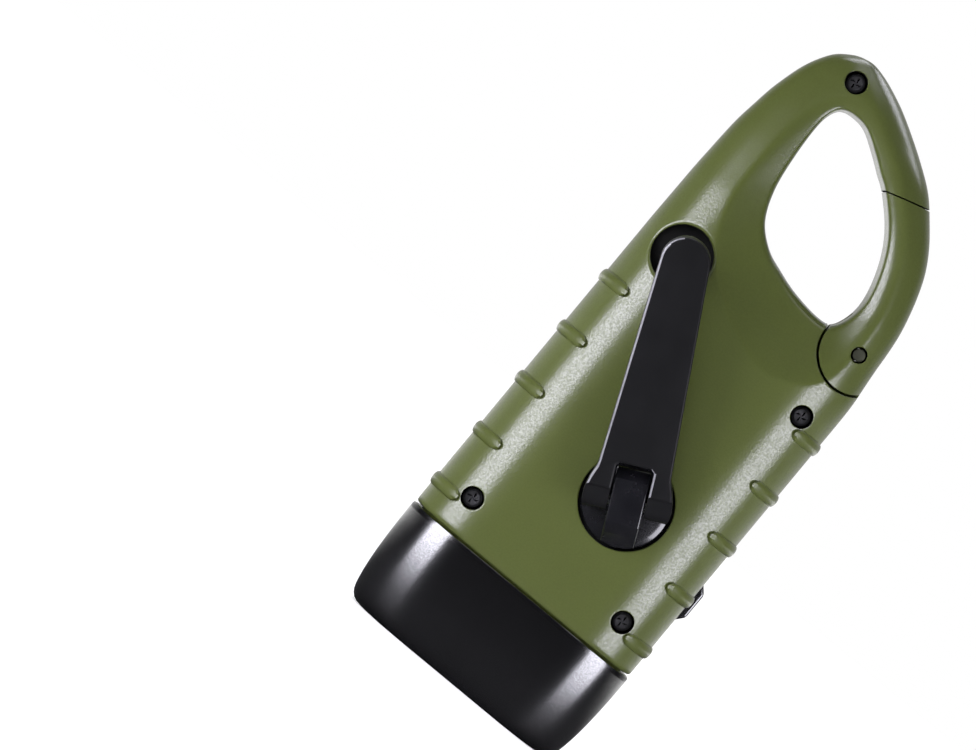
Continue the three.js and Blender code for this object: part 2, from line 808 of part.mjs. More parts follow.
function makeRearShell(half, form) {
  const clearDepth = bodyHalfDepth + overrun;
  let shell = half;
  for (const place of screwPlaces) {
    const [x, z] = place;
    const seat = screwSeat(x, z);
    if (z < shoulderHeight) shell = join(shell, rod(bossRadius, -clearDepth, -seatGap / 2, x, z).intersect(form));
    const bore = rod(screwShankRadius + boreGap, -clearDepth, seatGap, x, z, smallSides);
    const recess = rod(screwRecessRadius, -clearDepth, screwHeadHeight + seatGap - seat, x, z);
    shell = cut(shell, bore, recess);
  }
  const innerFace = bodyHalfDepth - wall;
  const padBottom = innerFace - hubPad + wall / 4;
  shell = join(shell, rod(hubRadius + wall, -innerFace - wall / 4, -padBottom, hubX, hubZ, fineSides));
  shell = cut(
    shell,
    rod(hubRadius + runningGap, -clearDepth, hubRecess - bodyHalfDepth, hubX, hubZ, fineSides),
    rod(bushRadius + boreGap, -clearDepth, 0, hubX, hubZ),
    rod(pocketRadius, -clearDepth, -pocketFloor, pocketX, pocketZ, fineSides),
  );
  const { idlerOne, idlerTwo } = gearCentres();
  const bossTop = shaftBossHeight - innerFace;
  for (const [x, z] of [idlerOne, idlerTwo]) {
    const boss = rod(shaftBossRadius, -innerFace - wall / 4, bossTop, x, z, smallSides);
    const socket = rod(idlerPinRadius + boreGap, -innerFace, bossTop + seatGap, x, z, smallSides);
    shell = cut(join(shell, boss), socket);
  }
  for (const [x, z] of platePosts) {
    const stand = rod(postRadius, -clearDepth, plateY - seatGap, x, z, smallSides).intersect(form);
    const pilot = rod(plateScrewRadius + boreGap, plateY - plateScrewLength, plateY, x, z, smallSides);
    shell = cut(join(shell, stand), pilot);
  }
  const cradleTop = batteryY - cellRadius - sleeveWall - 2 * seatGap;
  for (const x of [-cradleX, cradleX]) {
    const cradle = block(
      [x - cradleThickness / 2, -clearDepth, batteryZ - cradleHalf],
      [x + cradleThickness / 2, cradleTop, batteryZ + cradleHalf],
    );
    shell = join(shell, cradle.intersect(form));
  }
  addPart('rear_shell', shell, olive);
}

function makeCaseScrews() {
  screwPlaces.forEach((place, i) => {
    const [x, z] = place;
    const seat = screwSeat(x, z);
    const head = rod(screwHeadRadius, -seat, screwHeadHeight - seat, x, z, roundSides);
    const shank = rod(screwShankRadius, -seat + screwHeadHeight / 2, screwLength(place) - seat, x, z, smallSides);
    const slotWidth = screwHeadRadius / 4;
    const socket = block(
      [x - screwHeadRadius / 2, -seat - overrun, z - slotWidth],
      [x + screwHeadRadius / 2, -seat + screwHeadHeight / 2, z + slotWidth],
    );
    addPart(`case_screw_${i + 1}`, cut(join(head, shank), socket), darkSteel);
  });
}

function headRing(heightShare, insetShare, offset) {
  const inset = insetShare * headRimInset - offset;
  const halfWidth = headHalfWidth - inset;
  const round = sideRoundWidth - inset / 2;
  return sectionRing(-halfWidth, halfWidth, headHalfDepth - inset, round, sideFlatHalf, heightShare * headHeight);
}

function makeHead() {
  const outer = loft(headFormShares.map(([height, inset]) => headRing(height, inset, 0)));
  const inner = loft([
    bodyRing(headFlare - wall - headRimInset / 4, rimThickness),
    bodyRing(headFlare - wall, headHeight / 2),
    bodyRing(headFlare - wall, headHeight + overrun),
  ]);
  const window = tile(stadium(windowHalfWidth, windowHalfDepth), -overrun, rimThickness + overrun);
  addPart('head_bezel', cut(outer, inner, window), black);
}

function makeLamp() {
  const lensTop = rimThickness + seatGap + lensPlate;
  const lens = join(
    tile(stadium(windowHalfWidth - seatGap, windowHalfDepth - seatGap), 0, lensTop),
    tile(stadium(windowHalfWidth + lensLip, windowHalfDepth + lensLip), rimThickness + seatGap, lensTop),
  );
  addPart('lens', lens, clear);

  const reflectorBottom = lensTop + seatGap;
  const reflectorTop = reflectorBottom + reflectorDepth;
  let cups = tile(stadium(windowHalfWidth + lensLip, windowHalfDepth + lensLip), reflectorBottom, reflectorTop);
  const boardBase = reflectorTop + seatGap;
  const places = [-cupSpacing, 0, cupSpacing];
  const names = ['led_right', 'led_middle', 'led_left'];
  for (const x of places) {
    const cone = post(cupMouthRadius, reflectorBottom - seatGap, reflectorTop - wall, x, 0, roundSides, cupThroatRadius);
    const throat = post(cupThroatRadius, reflectorBottom, reflectorTop + overrun, x, 0, roundSides);
    cups = cut(cups, cone, throat);
  }
  addPart('reflector', cups, chrome);

  const plate = stadium(windowHalfWidth + lensLip, windowHalfDepth + lensLip);
  addPart('led_board', tile(plate, boardBase, boardBase + ledBoardThickness), board);
  places.forEach((x, i) => {
    const top = boardBase - seatGap;
    const dome = post(ledRadius / 2, top - ledHeight, top - ledHeight + ledRadius / 2, x, 0, smallSides, ledRadius);
    const barrel = post(ledRadius, top - ledHeight + ledRadius / 2, top, x, 0, smallSides);
    addPart(names[i], join(dome, barrel), ledWhite);
  });
}

// The solar frame's outline, drawn in by an inset: square at the head's end, bowed at the other
function frameOutline(inset) {
  const left = -frameHalfWidth + inset;
  const right = frameHalfWidth - inset;
  const bottom = frameBottom + inset;
  const top = frameTop - inset;
  const corner = frameCorner;
  const shape = new THREE.Shape();
  shape.moveTo(left + corner, bottom);
  shape.lineTo(right - corner, bottom);
  shape.absarc(right - corner, bottom + corner, corner, -Math.PI / 2, 0);
  shape.lineTo(right, top - corner);
  shape.quadraticCurveTo(right, top, right - corner, top);
  shape.quadraticCurveTo(0, top + 2 * frameBulge, left + corner, top);
  shape.quadraticCurveTo(left, top, left, top - corner);
  shape.lineTo(left, bottom + corner);
  shape.absarc(left + corner, bottom + corner, corner, Math.PI, 1.5 * Math.PI);
  return shape;
}

// The part of the solar frame that drops into the casing
function frameBossOutline(inset) {
  const side = frameBossInset + inset;
  const left = -frameHalfWidth + side;
  return roundedRectangle(left, frameBottom + side, -left, frameTop - side, windowCorner);
}

function windowOutline(inset) {
  const half = windowHalf - inset;
  return roundedRectangle(-half, windowBottom + inset, half, windowTop - inset, windowCorner);
}

function ringOf(shape, depth) {
  const points = shape.getPoints(cornerSteps);
  points.pop();
  return points.map((point) => new THREE.Vector3(point.x, depth, point.y));
}

function makeSolarPanel() {
  const base = bodyHalfDepth - frameSeat;
  const crown = bodyHalfDepth + frameRise;
  const frame = join(
    loft([
      ringOf(frameOutline(0), base),
      ringOf(frameOutline(0), bodyHalfDepth + frameSeat),
      ringOf(frameOutline(frameSlope), crown),
    ]),
    slab(frameBossOutline(0), base - frameBossDepth, base + frameSeat),
  );
  const cellTop = crown - windowSunk - windowThickness - seatGap;
  const cellBase = cellTop - cellThickness;
  const well = slab(windowOutline(0), cellBase - seatGap, crown + overrun);
  const back = slab(windowOutline(cellLedge), base - frameBossDepth - overrun, crown);
  addPart('solar_frame', cut(frame, well, back), black);
  addPart('solar_cell', slab(windowOutline(seatGap), cellBase, cellTop), panel);
  const cover = slab(windowOutline(seatGap), crown - windowSunk - windowThickness, crown - windowSunk);
  addPart('solar_window', cover, clear);
}

// The slot in the front shell for the push button and its flange
function buttonSlot() {
  const gap = seatGap;
  const halfLength = buttonHalfLength + gap;
  const halfDepth = buttonHalfDepth + gap;
  const lip = buttonFlangeLip + gap;
  const inside = bodyHalfWidth - 2 * wall;
  return join(
    block(
      [inside, -overrun, buttonZ - halfLength],
      [bodyHalfWidth + overrun, buttonY + halfDepth, buttonZ + halfLength],
    ),
    block(
      [inside - wall, -overrun, buttonZ - halfLength - lip],
      [bodyHalfWidth - wall, buttonY + halfDepth + lip, buttonZ + halfLength + lip],
    ),
  );
}

function makeButton() {
  const root = bodyHalfWidth - wall - seatGap - buttonFlange;
  const shoulder = bodyHalfWidth;
  const crown = bodyHalfWidth + buttonProud;
  const profile = polygon([
    [root, buttonZ - buttonHalfLength],
    [shoulder, buttonZ - buttonHalfLength],
    [crown, buttonZ - buttonTopHalf],
    [crown, buttonZ + buttonTopHalf],
    [shoulder, buttonZ + buttonHalfLength],
    [root, buttonZ + buttonHalfLength],
  ]);
  const cap = slab(profile, buttonY - buttonHalfDepth, buttonY + buttonHalfDepth);
  const flange = block(
    [root, buttonY - buttonHalfDepth, buttonZ - buttonHalfLength - buttonFlangeLip],
    [root + buttonFlange, buttonY + buttonHalfDepth + buttonFlangeLip, buttonZ + buttonHalfLength + buttonFlangeLip],
  );
  addPart('push_button', join(cap, flange), black);

  const plungerTip = root - buttonTravel - seatGap / 2;
  const bodyFace = plungerTip - plungerLength;
  const top = boardY - seatGap;
  const body = block(
    [bodyFace - switchDepth, top - switchSize, buttonZ - switchSize / 2],
    [bodyFace, top, buttonZ + switchSize / 2],
  );
  const plunger = bar(plungerRadius, bodyFace - plungerLength, plungerTip, top - switchSize / 2, buttonZ, smallSides);
  addPart('button_switch', join(body, plunger), glossBlack);
}

// Everything on the crank's spindle is made about the spindle, with the arm along +Z
function makeCrank() {
  const spindle = new THREE.Group();
  spindle.position.set(hubX, 0, hubZ);
  spindle.rotation.y = -crankTurn;
  torch.add(spindle);

  const pivot = hubTop + pivotRise;
  const discBottom = bodyHalfDepth - hubRecess + seatGap;
  const tongueTop = pivot + tongueRise;
  const profile = polygon([
    [-tongueLength, discBottom],
    [-tongueLength, tongueTop - tongueChamfer],
    [tongueChamfer - tongueLength, tongueTop],
    [tongueLength - tongueChamfer, tongueTop],
    [tongueLength, tongueTop - tongueChamfer],
    [tongueLength, discBottom],
  ]);
  const tongueGeometry = new THREE.ExtrudeGeometry(profile, { depth: 2 * tongueHalf, bevelEnabled: false });
  tongueGeometry.translate(0, 0, -tongueHalf);
  tongueGeometry.rotateY(-Math.PI / 2);
  tongueGeometry.rotateX(Math.PI);
  tongueGeometry.scale(1, 1, -1);
  const shaftEnd = plateY + plateThickness - seatGap;
  const shoulderEnd = plateY - seatGap;
  const hub = cut(
    join(
      rod(hubRadius, -hubTop, -discBottom, 0, 0, fineSides),
      solid(tongueGeometry),
      rod(shaftRadius, -discBottom - seatGap, shoulderEnd, 0, 0),
      rod(journalRadius, shoulderEnd - seatGap, shaftEnd, 0, 0),
    ),
    bar(hingePinRadius + boreGap, -hubRadius, hubRadius, -pivot, 0, smallSides),
  );
  addPart('crank_hub', hub, glossBlack, spindle);

  const bushTop = discBottom - seatGap / 2;
  const bushEnd = gearLayerFirst - bushEndGap;
  const bush = turned([
    [shaftRadius + bushClearance, -bushTop + seatGap],
    [bushRadius, -bushTop + seatGap],
    [bushRadius, bushEnd],
    [shaftRadius + bushClearance, bushEnd],
  ], 0, 0, roundSides);
  addPart('crank_bush', bush, brass, spindle);

  const fold = new THREE.Group();
  fold.position.y = -pivot;
  fold.rotation.x = armLift;
  spindle.add(fold);
  makeArm(fold);
}

// The arm in its own frame: its hinge is the X axis, and it lies along +Z with its knob towards +Y
function makeArm(fold) {
  const half = armThickness / 2;
  const taper = Math.asin((armRootHalf - armTipRadius) / (armReach - armRootLength));
  const rootAngle = Math.asin(armRootLength / hubRadius);
  const plate = new THREE.Shape();
  plate.moveTo(-lobeReach, 0);
  plate.lineTo(lobeReach, 0);
  plate.absarc(0, 0, hubRadius, Math.acos(lobeReach / hubRadius), rootAngle);
  plate.absarc(0, armReach, armTipRadius, taper, Math.PI - taper);
  plate.absarc(0, 0, hubRadius, Math.PI - rootAngle, Math.PI - Math.acos(lobeReach / hubRadius));
  const slot = block([-slotHalf, -overrun, -overrun], [slotHalf, overrun, slotLength]);
  const lobes = bar(lobeRadius, -lobeReach, lobeReach, 0, 0, roundSides);
  const pinBore = bar(hingePinRadius + boreGap, -hubRadius - overrun, hubRadius + overrun, 0, 0, smallSides);
  const knobSeat = rod(knobScrewRadius + boreGap, -half / 3, overrun, 0, armReach, smallSides);
  const arm = cut(join(slab(plate, -half, half, smallSides), lobes), slot, pinBore, knobSeat);
  addPart('crank_arm', arm, black, fold);

  const pinReach = lobeReach - seatGap;
  addPart('crank_hinge_pin', bar(hingePinRadius, -pinReach, pinReach, 0, 0, smallSides), steel, fold);

  const knobStart = half + seatGap;
  const knobEnd = knobStart + knobLength;
  const headSink = knobEnd - knobScrewHeadHeight - 2 * seatGap;
  const edge = seatGap;
  const knob = turned([
    [knobScrewRadius + boreGap, knobStart],
    [knobRadius - edge, knobStart],
    [knobRadius, knobStart + edge],
    [knobRadius, knobEnd - 2 * edge],
    [knobRadius - 2 * edge, knobEnd],
    [knobScrewHead + boreGap, knobEnd],
    [knobScrewHead + boreGap, headSink - seatGap],
    [knobScrewRadius + boreGap, headSink - seatGap],
  ], 0, armReach, roundSides);
  addPart('crank_knob', knob, black, fold);
  const knobScrew = join(
    rod(knobScrewRadius, -half / 3 + seatGap, headSink + seatGap, 0, armReach, smallSides),
    rod(knobScrewHead, headSink, headSink + knobScrewHeadHeight, 0, armReach, roundSides),
  );
  addPart('knob_screw', knobScrew, darkSteel, fold);
}

// A gear's outline about a centre, with the middle of a tooth at an angle
function gearShape(teeth, module, centre, turn) {
  const pitchRadius = (module * teeth) / 2;
  const tip = pitchRadius + module * addendumShare;
  const root = pitchRadius - module * dedendumShare;
  const pitchHalf = (Math.PI / (2 * teeth)) * toothShare;
  const tipHalf = pitchHalf - (module * addendumShare * Math.tan(pressureAngle)) / tip;
  const rootHalf = pitchHalf + (module * dedendumShare * Math.tan(pressureAngle)) / root;
  const points = [];
  for (let i = 0; i < teeth; i += 1) {
    const middle = turn + (2 * Math.PI * i) / teeth;
    const corners = [
      [root, -rootHalf],
      [tip, -tipHalf],
      [tip, tipHalf],
      [root, rootHalf],
    ];
    for (const [radius, angle] of corners) {
      const x = centre[0] + radius * Math.cos(middle + angle);
      const z = centre[1] + radius * Math.sin(middle + angle);
      points.push([x, z]);
    }
  }
  return polygon(points);
}

// The turn that puts a gap of a follower's teeth against the gear it meets
function meetingTurn(angle, teeth) {
  return angle + Math.PI + Math.PI / teeth;
}

function layerStart(layer) {
  return gearLayerFirst + layer * gearLayerPitch;
}

function makeGearTrain() {
  const { crank, idlerOne, idlerTwo, rotor } = gearCentres();
  const layerEnd = (layer) => layerStart(layer) + gearThickness;
  const gear = (teeth, module, centre, turn, from, to) => slab(gearShape(teeth, module, centre, turn), from, to);

  const crankGear = gear(crankTeeth, crankModule, crank, idlerOneAngle, layerStart(0), layerEnd(0));
  const crankBore = rod(shaftRadius + boreGap, layerStart(0) - overrun, 0, crank[0], crank[1]);
  addPart('crank_gear', cut(crankGear, crankBore), gearWhite);

  const idlers = [
    ['idler_gear_one', idlerOne, idlerOneTeeth, crankModule, idlerOneAngle, idlerTwoAngle, 0],
    ['idler_gear_two', idlerTwo, idlerTwoTeeth, fineModule, idlerTwoAngle, rotorAngle, 1],
  ];
  for (const [name, centre, teeth, pinionModule, cameFrom, goesTo, layer] of idlers) {
    const pinionTurn = meetingTurn(cameFrom, pinionTeeth);
    const pinion = gear(pinionTeeth, pinionModule, centre, pinionTurn, layerStart(layer), layerStart(layer + 1));
    const wheel = gear(teeth, fineModule, centre, goesTo, layerStart(layer + 1), layerEnd(layer + 1));
    const bore = rod(idlerPinRadius + boreGap, layerStart(0) - overrun, 0, centre[0], centre[1], smallSides);
    addPart(name, cut(join(pinion, wheel), bore), gearWhite);
  }

  const innerFace = bodyHalfDepth - wall;
  const pinStart = -innerFace + seatGap;
  const pinEnd = plateY + plateThickness - seatGap;
  const pins = [
    ['idler_pin_one', idlerOne],
    ['idler_pin_two', idlerTwo],
  ];
  for (const [name, centre] of pins) {
    addPart(name, rod(idlerPinRadius, pinStart, pinEnd, centre[0], centre[1], smallSides), steel);
  }
  makeGearPlate([idlerOne, idlerTwo], crank, rotor);
  makeGenerator(rotor);
}

function makeGearPlate(idlers, crank, rotor) {
  const xs = [...platePosts.map(([x]) => x)];
  const zs = [...platePosts.map(([, z]) => z)];
  const left = Math.min(...xs) - plateMargin;
  const right = Math.max(...xs) + plateMargin;
  const bottom = Math.min(...zs) - plateMargin / 2;
  const top = Math.max(rotor[1] + statorRadius, ...zs) + plateMargin;
  const end = plateY + plateThickness;
  let plate = slab(roundedRectangle(left, bottom, right, top, plateMargin), plateY, end);
  const hole = (radius, [x, z]) => rod(radius, plateY - overrun, end + overrun, x, z, smallSides);
  plate = cut(plate, hole(journalRadius + boreGap, crank), hole(rotorShaftRadius + boreGap, rotor));
  for (const centre of idlers) plate = cut(plate, hole(idlerPinRadius + boreGap, centre));
  platePosts.forEach((place, i) => {
    plate = cut(plate, hole(plateScrewRadius + boreGap, place));
    const headStart = end + seatGap;
    const [x, z] = place;
    const shank = rod(plateScrewRadius, headStart - plateScrewLength, headStart + seatGap, x, z, smallSides);
    const head = rod(plateScrewHead, headStart, headStart + plateScrewHeadHeight, x, z, smallSides);
    addPart(`plate_screw_${i + 1}`, join(shank, head), steel);
  });
  addPart('gear_plate', plate, steel);
}

function makeGenerator([x, z]) {
  const end = plateY + plateThickness;
  const rotorStart = end + 2 * seatGap;
  const rotorEnd = rotorStart + rotorLength;
  const pinionStart = layerStart(2);
  const pinionEnd = pinionStart + gearThickness;
  const turn = meetingTurn(rotorAngle, pinionTeeth);
  const coverStart = rotorEnd + 2 * seatGap;
  const shaft = join(
    slab(gearShape(pinionTeeth, fineModule, [x, z], turn), pinionStart, pinionEnd),
    rod(rotorShaftRadius, pinionStart - seatGap, coverStart + coverThickness, x, z, smallSides),
  );
  addPart('rotor_pinion', shaft, steel);
  addPart('rotor_magnet', turned([
    [rotorShaftRadius + boreGap, rotorStart],
    [rotorRadius, rotorStart],
    [rotorRadius, rotorEnd],
    [rotorShaftRadius + boreGap, rotorEnd],
  ], x, z), darkSteel);

  const inner = rotorRadius + runningGap;
  const base = end + seatGap;
  const rim = rotorEnd;
  addPart('stator_core', turned([
    [inner, base],
    [statorRadius, base],
    [statorRadius, rim],
    [statorRadius - statorWall / 2, rim],
    [statorRadius - statorWall / 2, base + statorWall],
    [inner + statorWall / 2, base + statorWall],
    [inner + statorWall / 2, rim],
    [inner, rim],
  ], x, z), steel);
  const coilStart = base + statorWall + seatGap;
  const coilInner = inner + statorWall / 2 + seatGap;
  const coilOuter = statorRadius - statorWall / 2 - seatGap;
  addPart('stator_coil', turned([
    [coilInner, coilStart],
    [coilOuter, coilStart],
    [coilOuter, coilStart + coilLength],
    [coilInner, coilStart + coilLength],
  ], x, z), copper);
  const cover = cut(
    rod(coilInner, coverStart, coverStart + coverThickness, x, z, fineSides),
    rod(rotorShaftRadius + boreGap, coverStart - overrun, coverStart + overrun, x, z, smallSides),
  );
  addPart('generator_cover', cover, black);

  const middle = (coilInner + coilOuter) / 2;
  for (const [name, side, finish] of [['coil_wire_red', 1, wireRed], ['coil_wire_black', -1, wireBlack]]) {
    const from = [x + side * middle, coilStart + coilLength + seatGap, z];
    const to = [x + side * middle, boardY - seatGap, z];
    addPart(name, wire([from, to], 1), finish);
  }
}

// A round wire through points
function wire(points, steps) {
  const section = new THREE.Shape();
  section.absarc(0, 0, wireRadius, 0, 2 * Math.PI);
  const curve = new THREE.CatmullRomCurve3(points.map((point) => new THREE.Vector3(...point)));
  return solid(new THREE.ExtrudeGeometry(section, { steps, extrudePath: curve, curveSegments: wireSides / 2 }));
}

function makeBattery() {
  const pitch = cellLength + seatGap;
  const start = -(cellCount * pitch - seatGap) / 2;
  for (let i = 0; i < cellCount; i += 1) {
    const left = start + i * pitch;
    addPart(`battery_cell_${i + 1}`, bar(cellRadius, left, left + cellLength, batteryY, batteryZ), steel);
  }
  const inner = cellRadius + seatGap;
  const sleeve = cut(
    bar(inner + sleeveWall, start, -start, batteryY, batteryZ, fineSides),
    bar(inner, start - overrun, -start + overrun, batteryY, batteryZ, fineSides),
  );
  addPart('battery_sleeve', sleeve, sleeveGreen);

  const wireZ = batteryZ + cellRadius / 2;
  const boardEdge = boardBottom - seatGap;
  const boardMiddle = boardY + boardThickness / 2;
  for (const [name, side, finish] of [['battery_wire_red', 1, wireRed], ['battery_wire_black', -1, wireBlack]]) {
    const terminal = side * (seatGap - start);
    const bend = terminal + side * wireRadius * 2;
    const points = [
      [terminal, batteryY, wireZ],
      [bend, batteryY + wireRadius, wireZ + wireRadius],
      [bend, (batteryY + boardMiddle) / 2, (wireZ + boardEdge) / 2],
      [bend, boardMiddle - wireRadius, boardEdge - 3 * wireRadius],
      [bend, boardMiddle, boardEdge],
    ];
    addPart(name, wire(points, 10), finish);
  }
}

function makeMainBoard() {
  const outline = roundedRectangle(boardLeft, boardBottom, boardRight, boardTop, wireRadius);
  addPart('main_board', slab(outline, boardY, boardY + boardThickness), board);
  const lensTop = rimThickness + seatGap + lensPlate;
  const ledBoardTop = lensTop + 2 * seatGap + reflectorDepth + ledBoardThickness;
  const sleeveTop = batteryY + cellRadius + seatGap + sleeveWall;
  const boardMiddle = boardY + boardThickness / 2;
  const passing = sleeveTop + 2 * wireRadius;
  for (const [name, side, finish] of [['led_wire_red', 1, wireRed], ['led_wire_black', -1, wireBlack]]) {
    const x = (side * cupSpacing) / 2;
    const points = [
      [x, 0, ledBoardTop + seatGap],
      [x, wireRadius, ledBoardTop + 4 * wireRadius],
      [x, passing / 2, headHeight - wireRadius],
      [x, passing, batteryZ - cellRadius / 2],
      [x, passing, batteryZ + cellRadius / 2],
      [x, boardMiddle, boardBottom - seatGap],
    ];
    addPart(name, wire(points, 12), finish);
  }
  const crown = bodyHalfDepth + frameRise;
  const cellBase = crown - windowSunk - windowThickness - seatGap - cellThickness;
  const middle = (windowBottom + windowTop) / 2;
  for (const [name, side, finish] of [['solar_wire_red', 1, wireRed], ['solar_wire_black', -1, wireBlack]]) {
    const x = (side * (windowHalf - cellLedge)) / 2;
    const from = [x, boardY + boardThickness + seatGap, middle];
    const to = [x, cellBase - seatGap, middle];
    addPart(name, wire([from, to], 1), finish);
  }
}

const form = casingForm();
makeShells(form);
makeHead();
makeLamp();
makeSolarPanel();
makeGate(cut(form, openingCut()));
makeGatePinAndSpring();
makeButton();
makeCrank();
makeGearTrain();
makeBattery();
makeMainBoard();
makeCaseScrews();

export default torch;
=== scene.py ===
"""Hand crank flashlight with a solar panel and a carabiner: the dressed model and its studio.

Every form is drawn in millimetres in the frame of the solids: the lamp face lies at Z = 0,
the carabiner is at the top, the crank faces -Y, the solar panel +Y, and the gate is on +X.
"""

from __future__ import annotations

import json
import logging
import math
from collections.abc import Callable, Sequence
from dataclasses import dataclass, field
from enum import Enum

import bmesh
import bpy
from mathutils import Matrix, Vector

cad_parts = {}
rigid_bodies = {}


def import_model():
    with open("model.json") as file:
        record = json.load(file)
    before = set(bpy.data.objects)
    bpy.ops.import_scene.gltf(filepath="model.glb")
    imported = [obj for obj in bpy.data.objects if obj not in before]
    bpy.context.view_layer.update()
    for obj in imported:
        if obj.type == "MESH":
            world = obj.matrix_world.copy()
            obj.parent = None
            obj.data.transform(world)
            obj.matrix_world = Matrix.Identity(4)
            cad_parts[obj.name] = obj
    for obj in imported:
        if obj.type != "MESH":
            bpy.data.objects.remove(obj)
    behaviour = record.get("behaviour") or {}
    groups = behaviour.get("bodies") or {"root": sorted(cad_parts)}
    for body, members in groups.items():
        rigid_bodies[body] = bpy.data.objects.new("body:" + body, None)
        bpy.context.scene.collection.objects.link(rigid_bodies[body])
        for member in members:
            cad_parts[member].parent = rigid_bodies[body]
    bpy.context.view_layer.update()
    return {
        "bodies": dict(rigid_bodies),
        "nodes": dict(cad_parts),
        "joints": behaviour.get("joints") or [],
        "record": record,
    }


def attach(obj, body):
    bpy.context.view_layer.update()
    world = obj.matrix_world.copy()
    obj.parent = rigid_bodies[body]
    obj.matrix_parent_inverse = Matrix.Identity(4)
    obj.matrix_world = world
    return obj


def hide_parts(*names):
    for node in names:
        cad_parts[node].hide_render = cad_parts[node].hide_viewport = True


log = logging.getLogger("flashlight")

Pair = tuple[float, float]
Triple = tuple[float, float, float]
Socket = bpy.types.NodeSocket

METRES = 0.001
QUARTER = math.pi / 2
TURN = 2 * math.pi
ALONG_X = Vector((1, 0, 0))
ALONG_Y = Vector((0, 1, 0))
ALONG_Z = Vector((0, 0, 1))
WHITE = (1.0, 1.0, 1.0, 1.0)
# The range that most values of a noise lie in.
MOST = (0.3, 0.7)


class Operation(Enum):
    """How one form works on another."""

    ADD = "UNION"
    CUT = "DIFFERENCE"
    KEEP = "INTERSECT"


class Side(Enum):
    """The two faces of the flashlight."""

    CRANK = -1
    SOLAR = 1


def linear(red: int, green: int, blue: int) -> Triple:
    """A colour as the eye names it, from 0 to 255, as the shader's linear values.

    Args:
        red: The red part.
        green: The green part.
        blue: The blue part.

    Returns:
        The three linear values.
    """
    shares = [value / 255 for value in (red, green, blue)]
    return tuple(part / 12.92 if part <= 0.04045 else ((part + 0.055) / 1.055) ** 2.4 for part in shares)


def darker(colour: Triple, share: float) -> Triple:
    """A share of a colour."""
    return tuple(share * part for part in colour)


def around(middle: float, spread: float) -> Pair:
    """The range about a middle."""
    return middle - spread, middle + spread


# ---------------------------------------------------------------- finishes


class Nodes:
    """A small hand for wiring the nodes of a material or a world."""

    def __init__(self, owner: bpy.types.Material | bpy.types.World, last: str = "Principled BSDF") -> None:
        """Start on the nodes of a material or a world.

        Args:
            owner: The material or world.
            last: The node that gives its look.
        """
        owner.use_nodes = True
        self.owner = owner
        self.tree = owner.node_tree
        self.shader = self.tree.nodes[last]
        self.place = self.tree.nodes.new("ShaderNodeTexCoord").outputs["Object"]

    def add(
        self, kind: str, inputs: dict[str | int, object] | None = None, **settings: str
    ) -> bpy.types.Node:
        """Add a node.

        Args:
            kind: The node's type without its ShaderNode prefix.
            inputs: Values or outputs for its sockets, by name or number.
            settings: Attributes of the node.

        Returns:
            The node.
        """
        node = self.tree.nodes.new("ShaderNode" + kind)
        for key, value in settings.items():
            setattr(node, key, value)
        for key, value in (inputs or {}).items():
            self.feed(node.inputs[key], value)
        return node

    def feed(self, socket: Socket, value: object) -> None:
        """Link an output into a socket, or set its value.

        Args:
            socket: The socket to feed.
            value: An output socket, or a plain value.
        """
        if isinstance(value, Socket):
            self.tree.links.new(value, socket)
        else:
            socket.default_value = value

    def noise(self, size: float, detail: float) -> Socket:
        """Soft noise from 0 to 1.

        Args:
            size: The size of a grain in metres.
            detail: How many finer layers it has.

        Returns:
            The noise.
        """
        inputs = {"Vector": self.place, "Scale": 1 / size, "Detail": detail, "Roughness": 0.55}
        return self.add("TexNoise", inputs).outputs["Fac"]

    def calc(self, operation: str, first: Socket, second: Socket | float = 0.0) -> Socket:
        """Work out one number.

        Args:
            operation: What is done.
            first: The first value.
            second: The second value, where the operation has one.

        Returns:
            The result.
        """
        return self.add("Math", {0: first, 1: second}, operation=operation).outputs[0]

    def ramp(self, value: Socket, source: Pair, target: Pair = (0.0, 1.0)) -> Socket:
        """Map a value from one range to another.

        Args:
            value: The value.
            source: The range that it comes from.
            target: The range of the result.

        Returns:
            The mapped value.
        """
        ends = dict(zip(("From Min", "From Max", "To Min", "To Max"), (*source, *target)))
        return self.add("MapRange", {"Value": value, **ends}).outputs["Result"]

    def blend(self, share: Socket, first: Triple | Socket, second: Triple | Socket) -> Socket:
        """Blend two colours.

        Args:
            share: How much of the second colour shows.
            first: The first colour.
            second: The second colour.

        Returns:
            The blended colour.
        """
        low, high = (part if isinstance(part, Socket) else (*part, 1.0) for part in (first, second))
        return self.add("Mix", {0: share, 6: low, 7: high}, data_type="RGBA").outputs[2]

    def mix(self, share: Socket, first: Socket | float, second: Socket | float) -> Socket:
        """Blend two values.

        Args:
            share: How much of the second value shows.
            first: The first value.
            second: The second value.

        Returns:
            The blended value.
        """
        return self.add("Mix", {0: share, 2: first, 3: second}, data_type="FLOAT").outputs[0]

    def dim(self, colour: Socket, where: Socket, keep: float) -> Socket:
        """A colour made darker in places.

        Args:
            colour: The colour.
            where: One where it is dimmed, nought where it isn't.
            keep: The share of it that stays.

        Returns:
            The dimmed colour.
        """
        scale = self.mix(where, 1.0, keep)
        return self.add("VectorMath", {0: colour, "Scale": scale}, operation="SCALE").outputs["Vector"]

    def bump(self, height: Socket, depth: float, under: Socket | None = None) -> Socket:
        """A raised grain.

        Args:
            height: The pattern, from 0 to 1.
            depth: Its depth in metres.
            under: The normal of a coarser grain under it, or none.

        Returns:
            The normal.
        """
        inputs = {"Height": height, "Distance": depth, "Strength": 1.0}
        if under is not None:
            inputs["Normal"] = under
        return self.add("Bump", inputs).outputs["Normal"]

    def surface(self, values: dict[str, object]) -> None:
        """Set the last node's sockets.

        Args:
            values: Values or outputs by socket name.
        """
        for key, value in values.items():
            self.feed(self.shader.inputs[key], value)


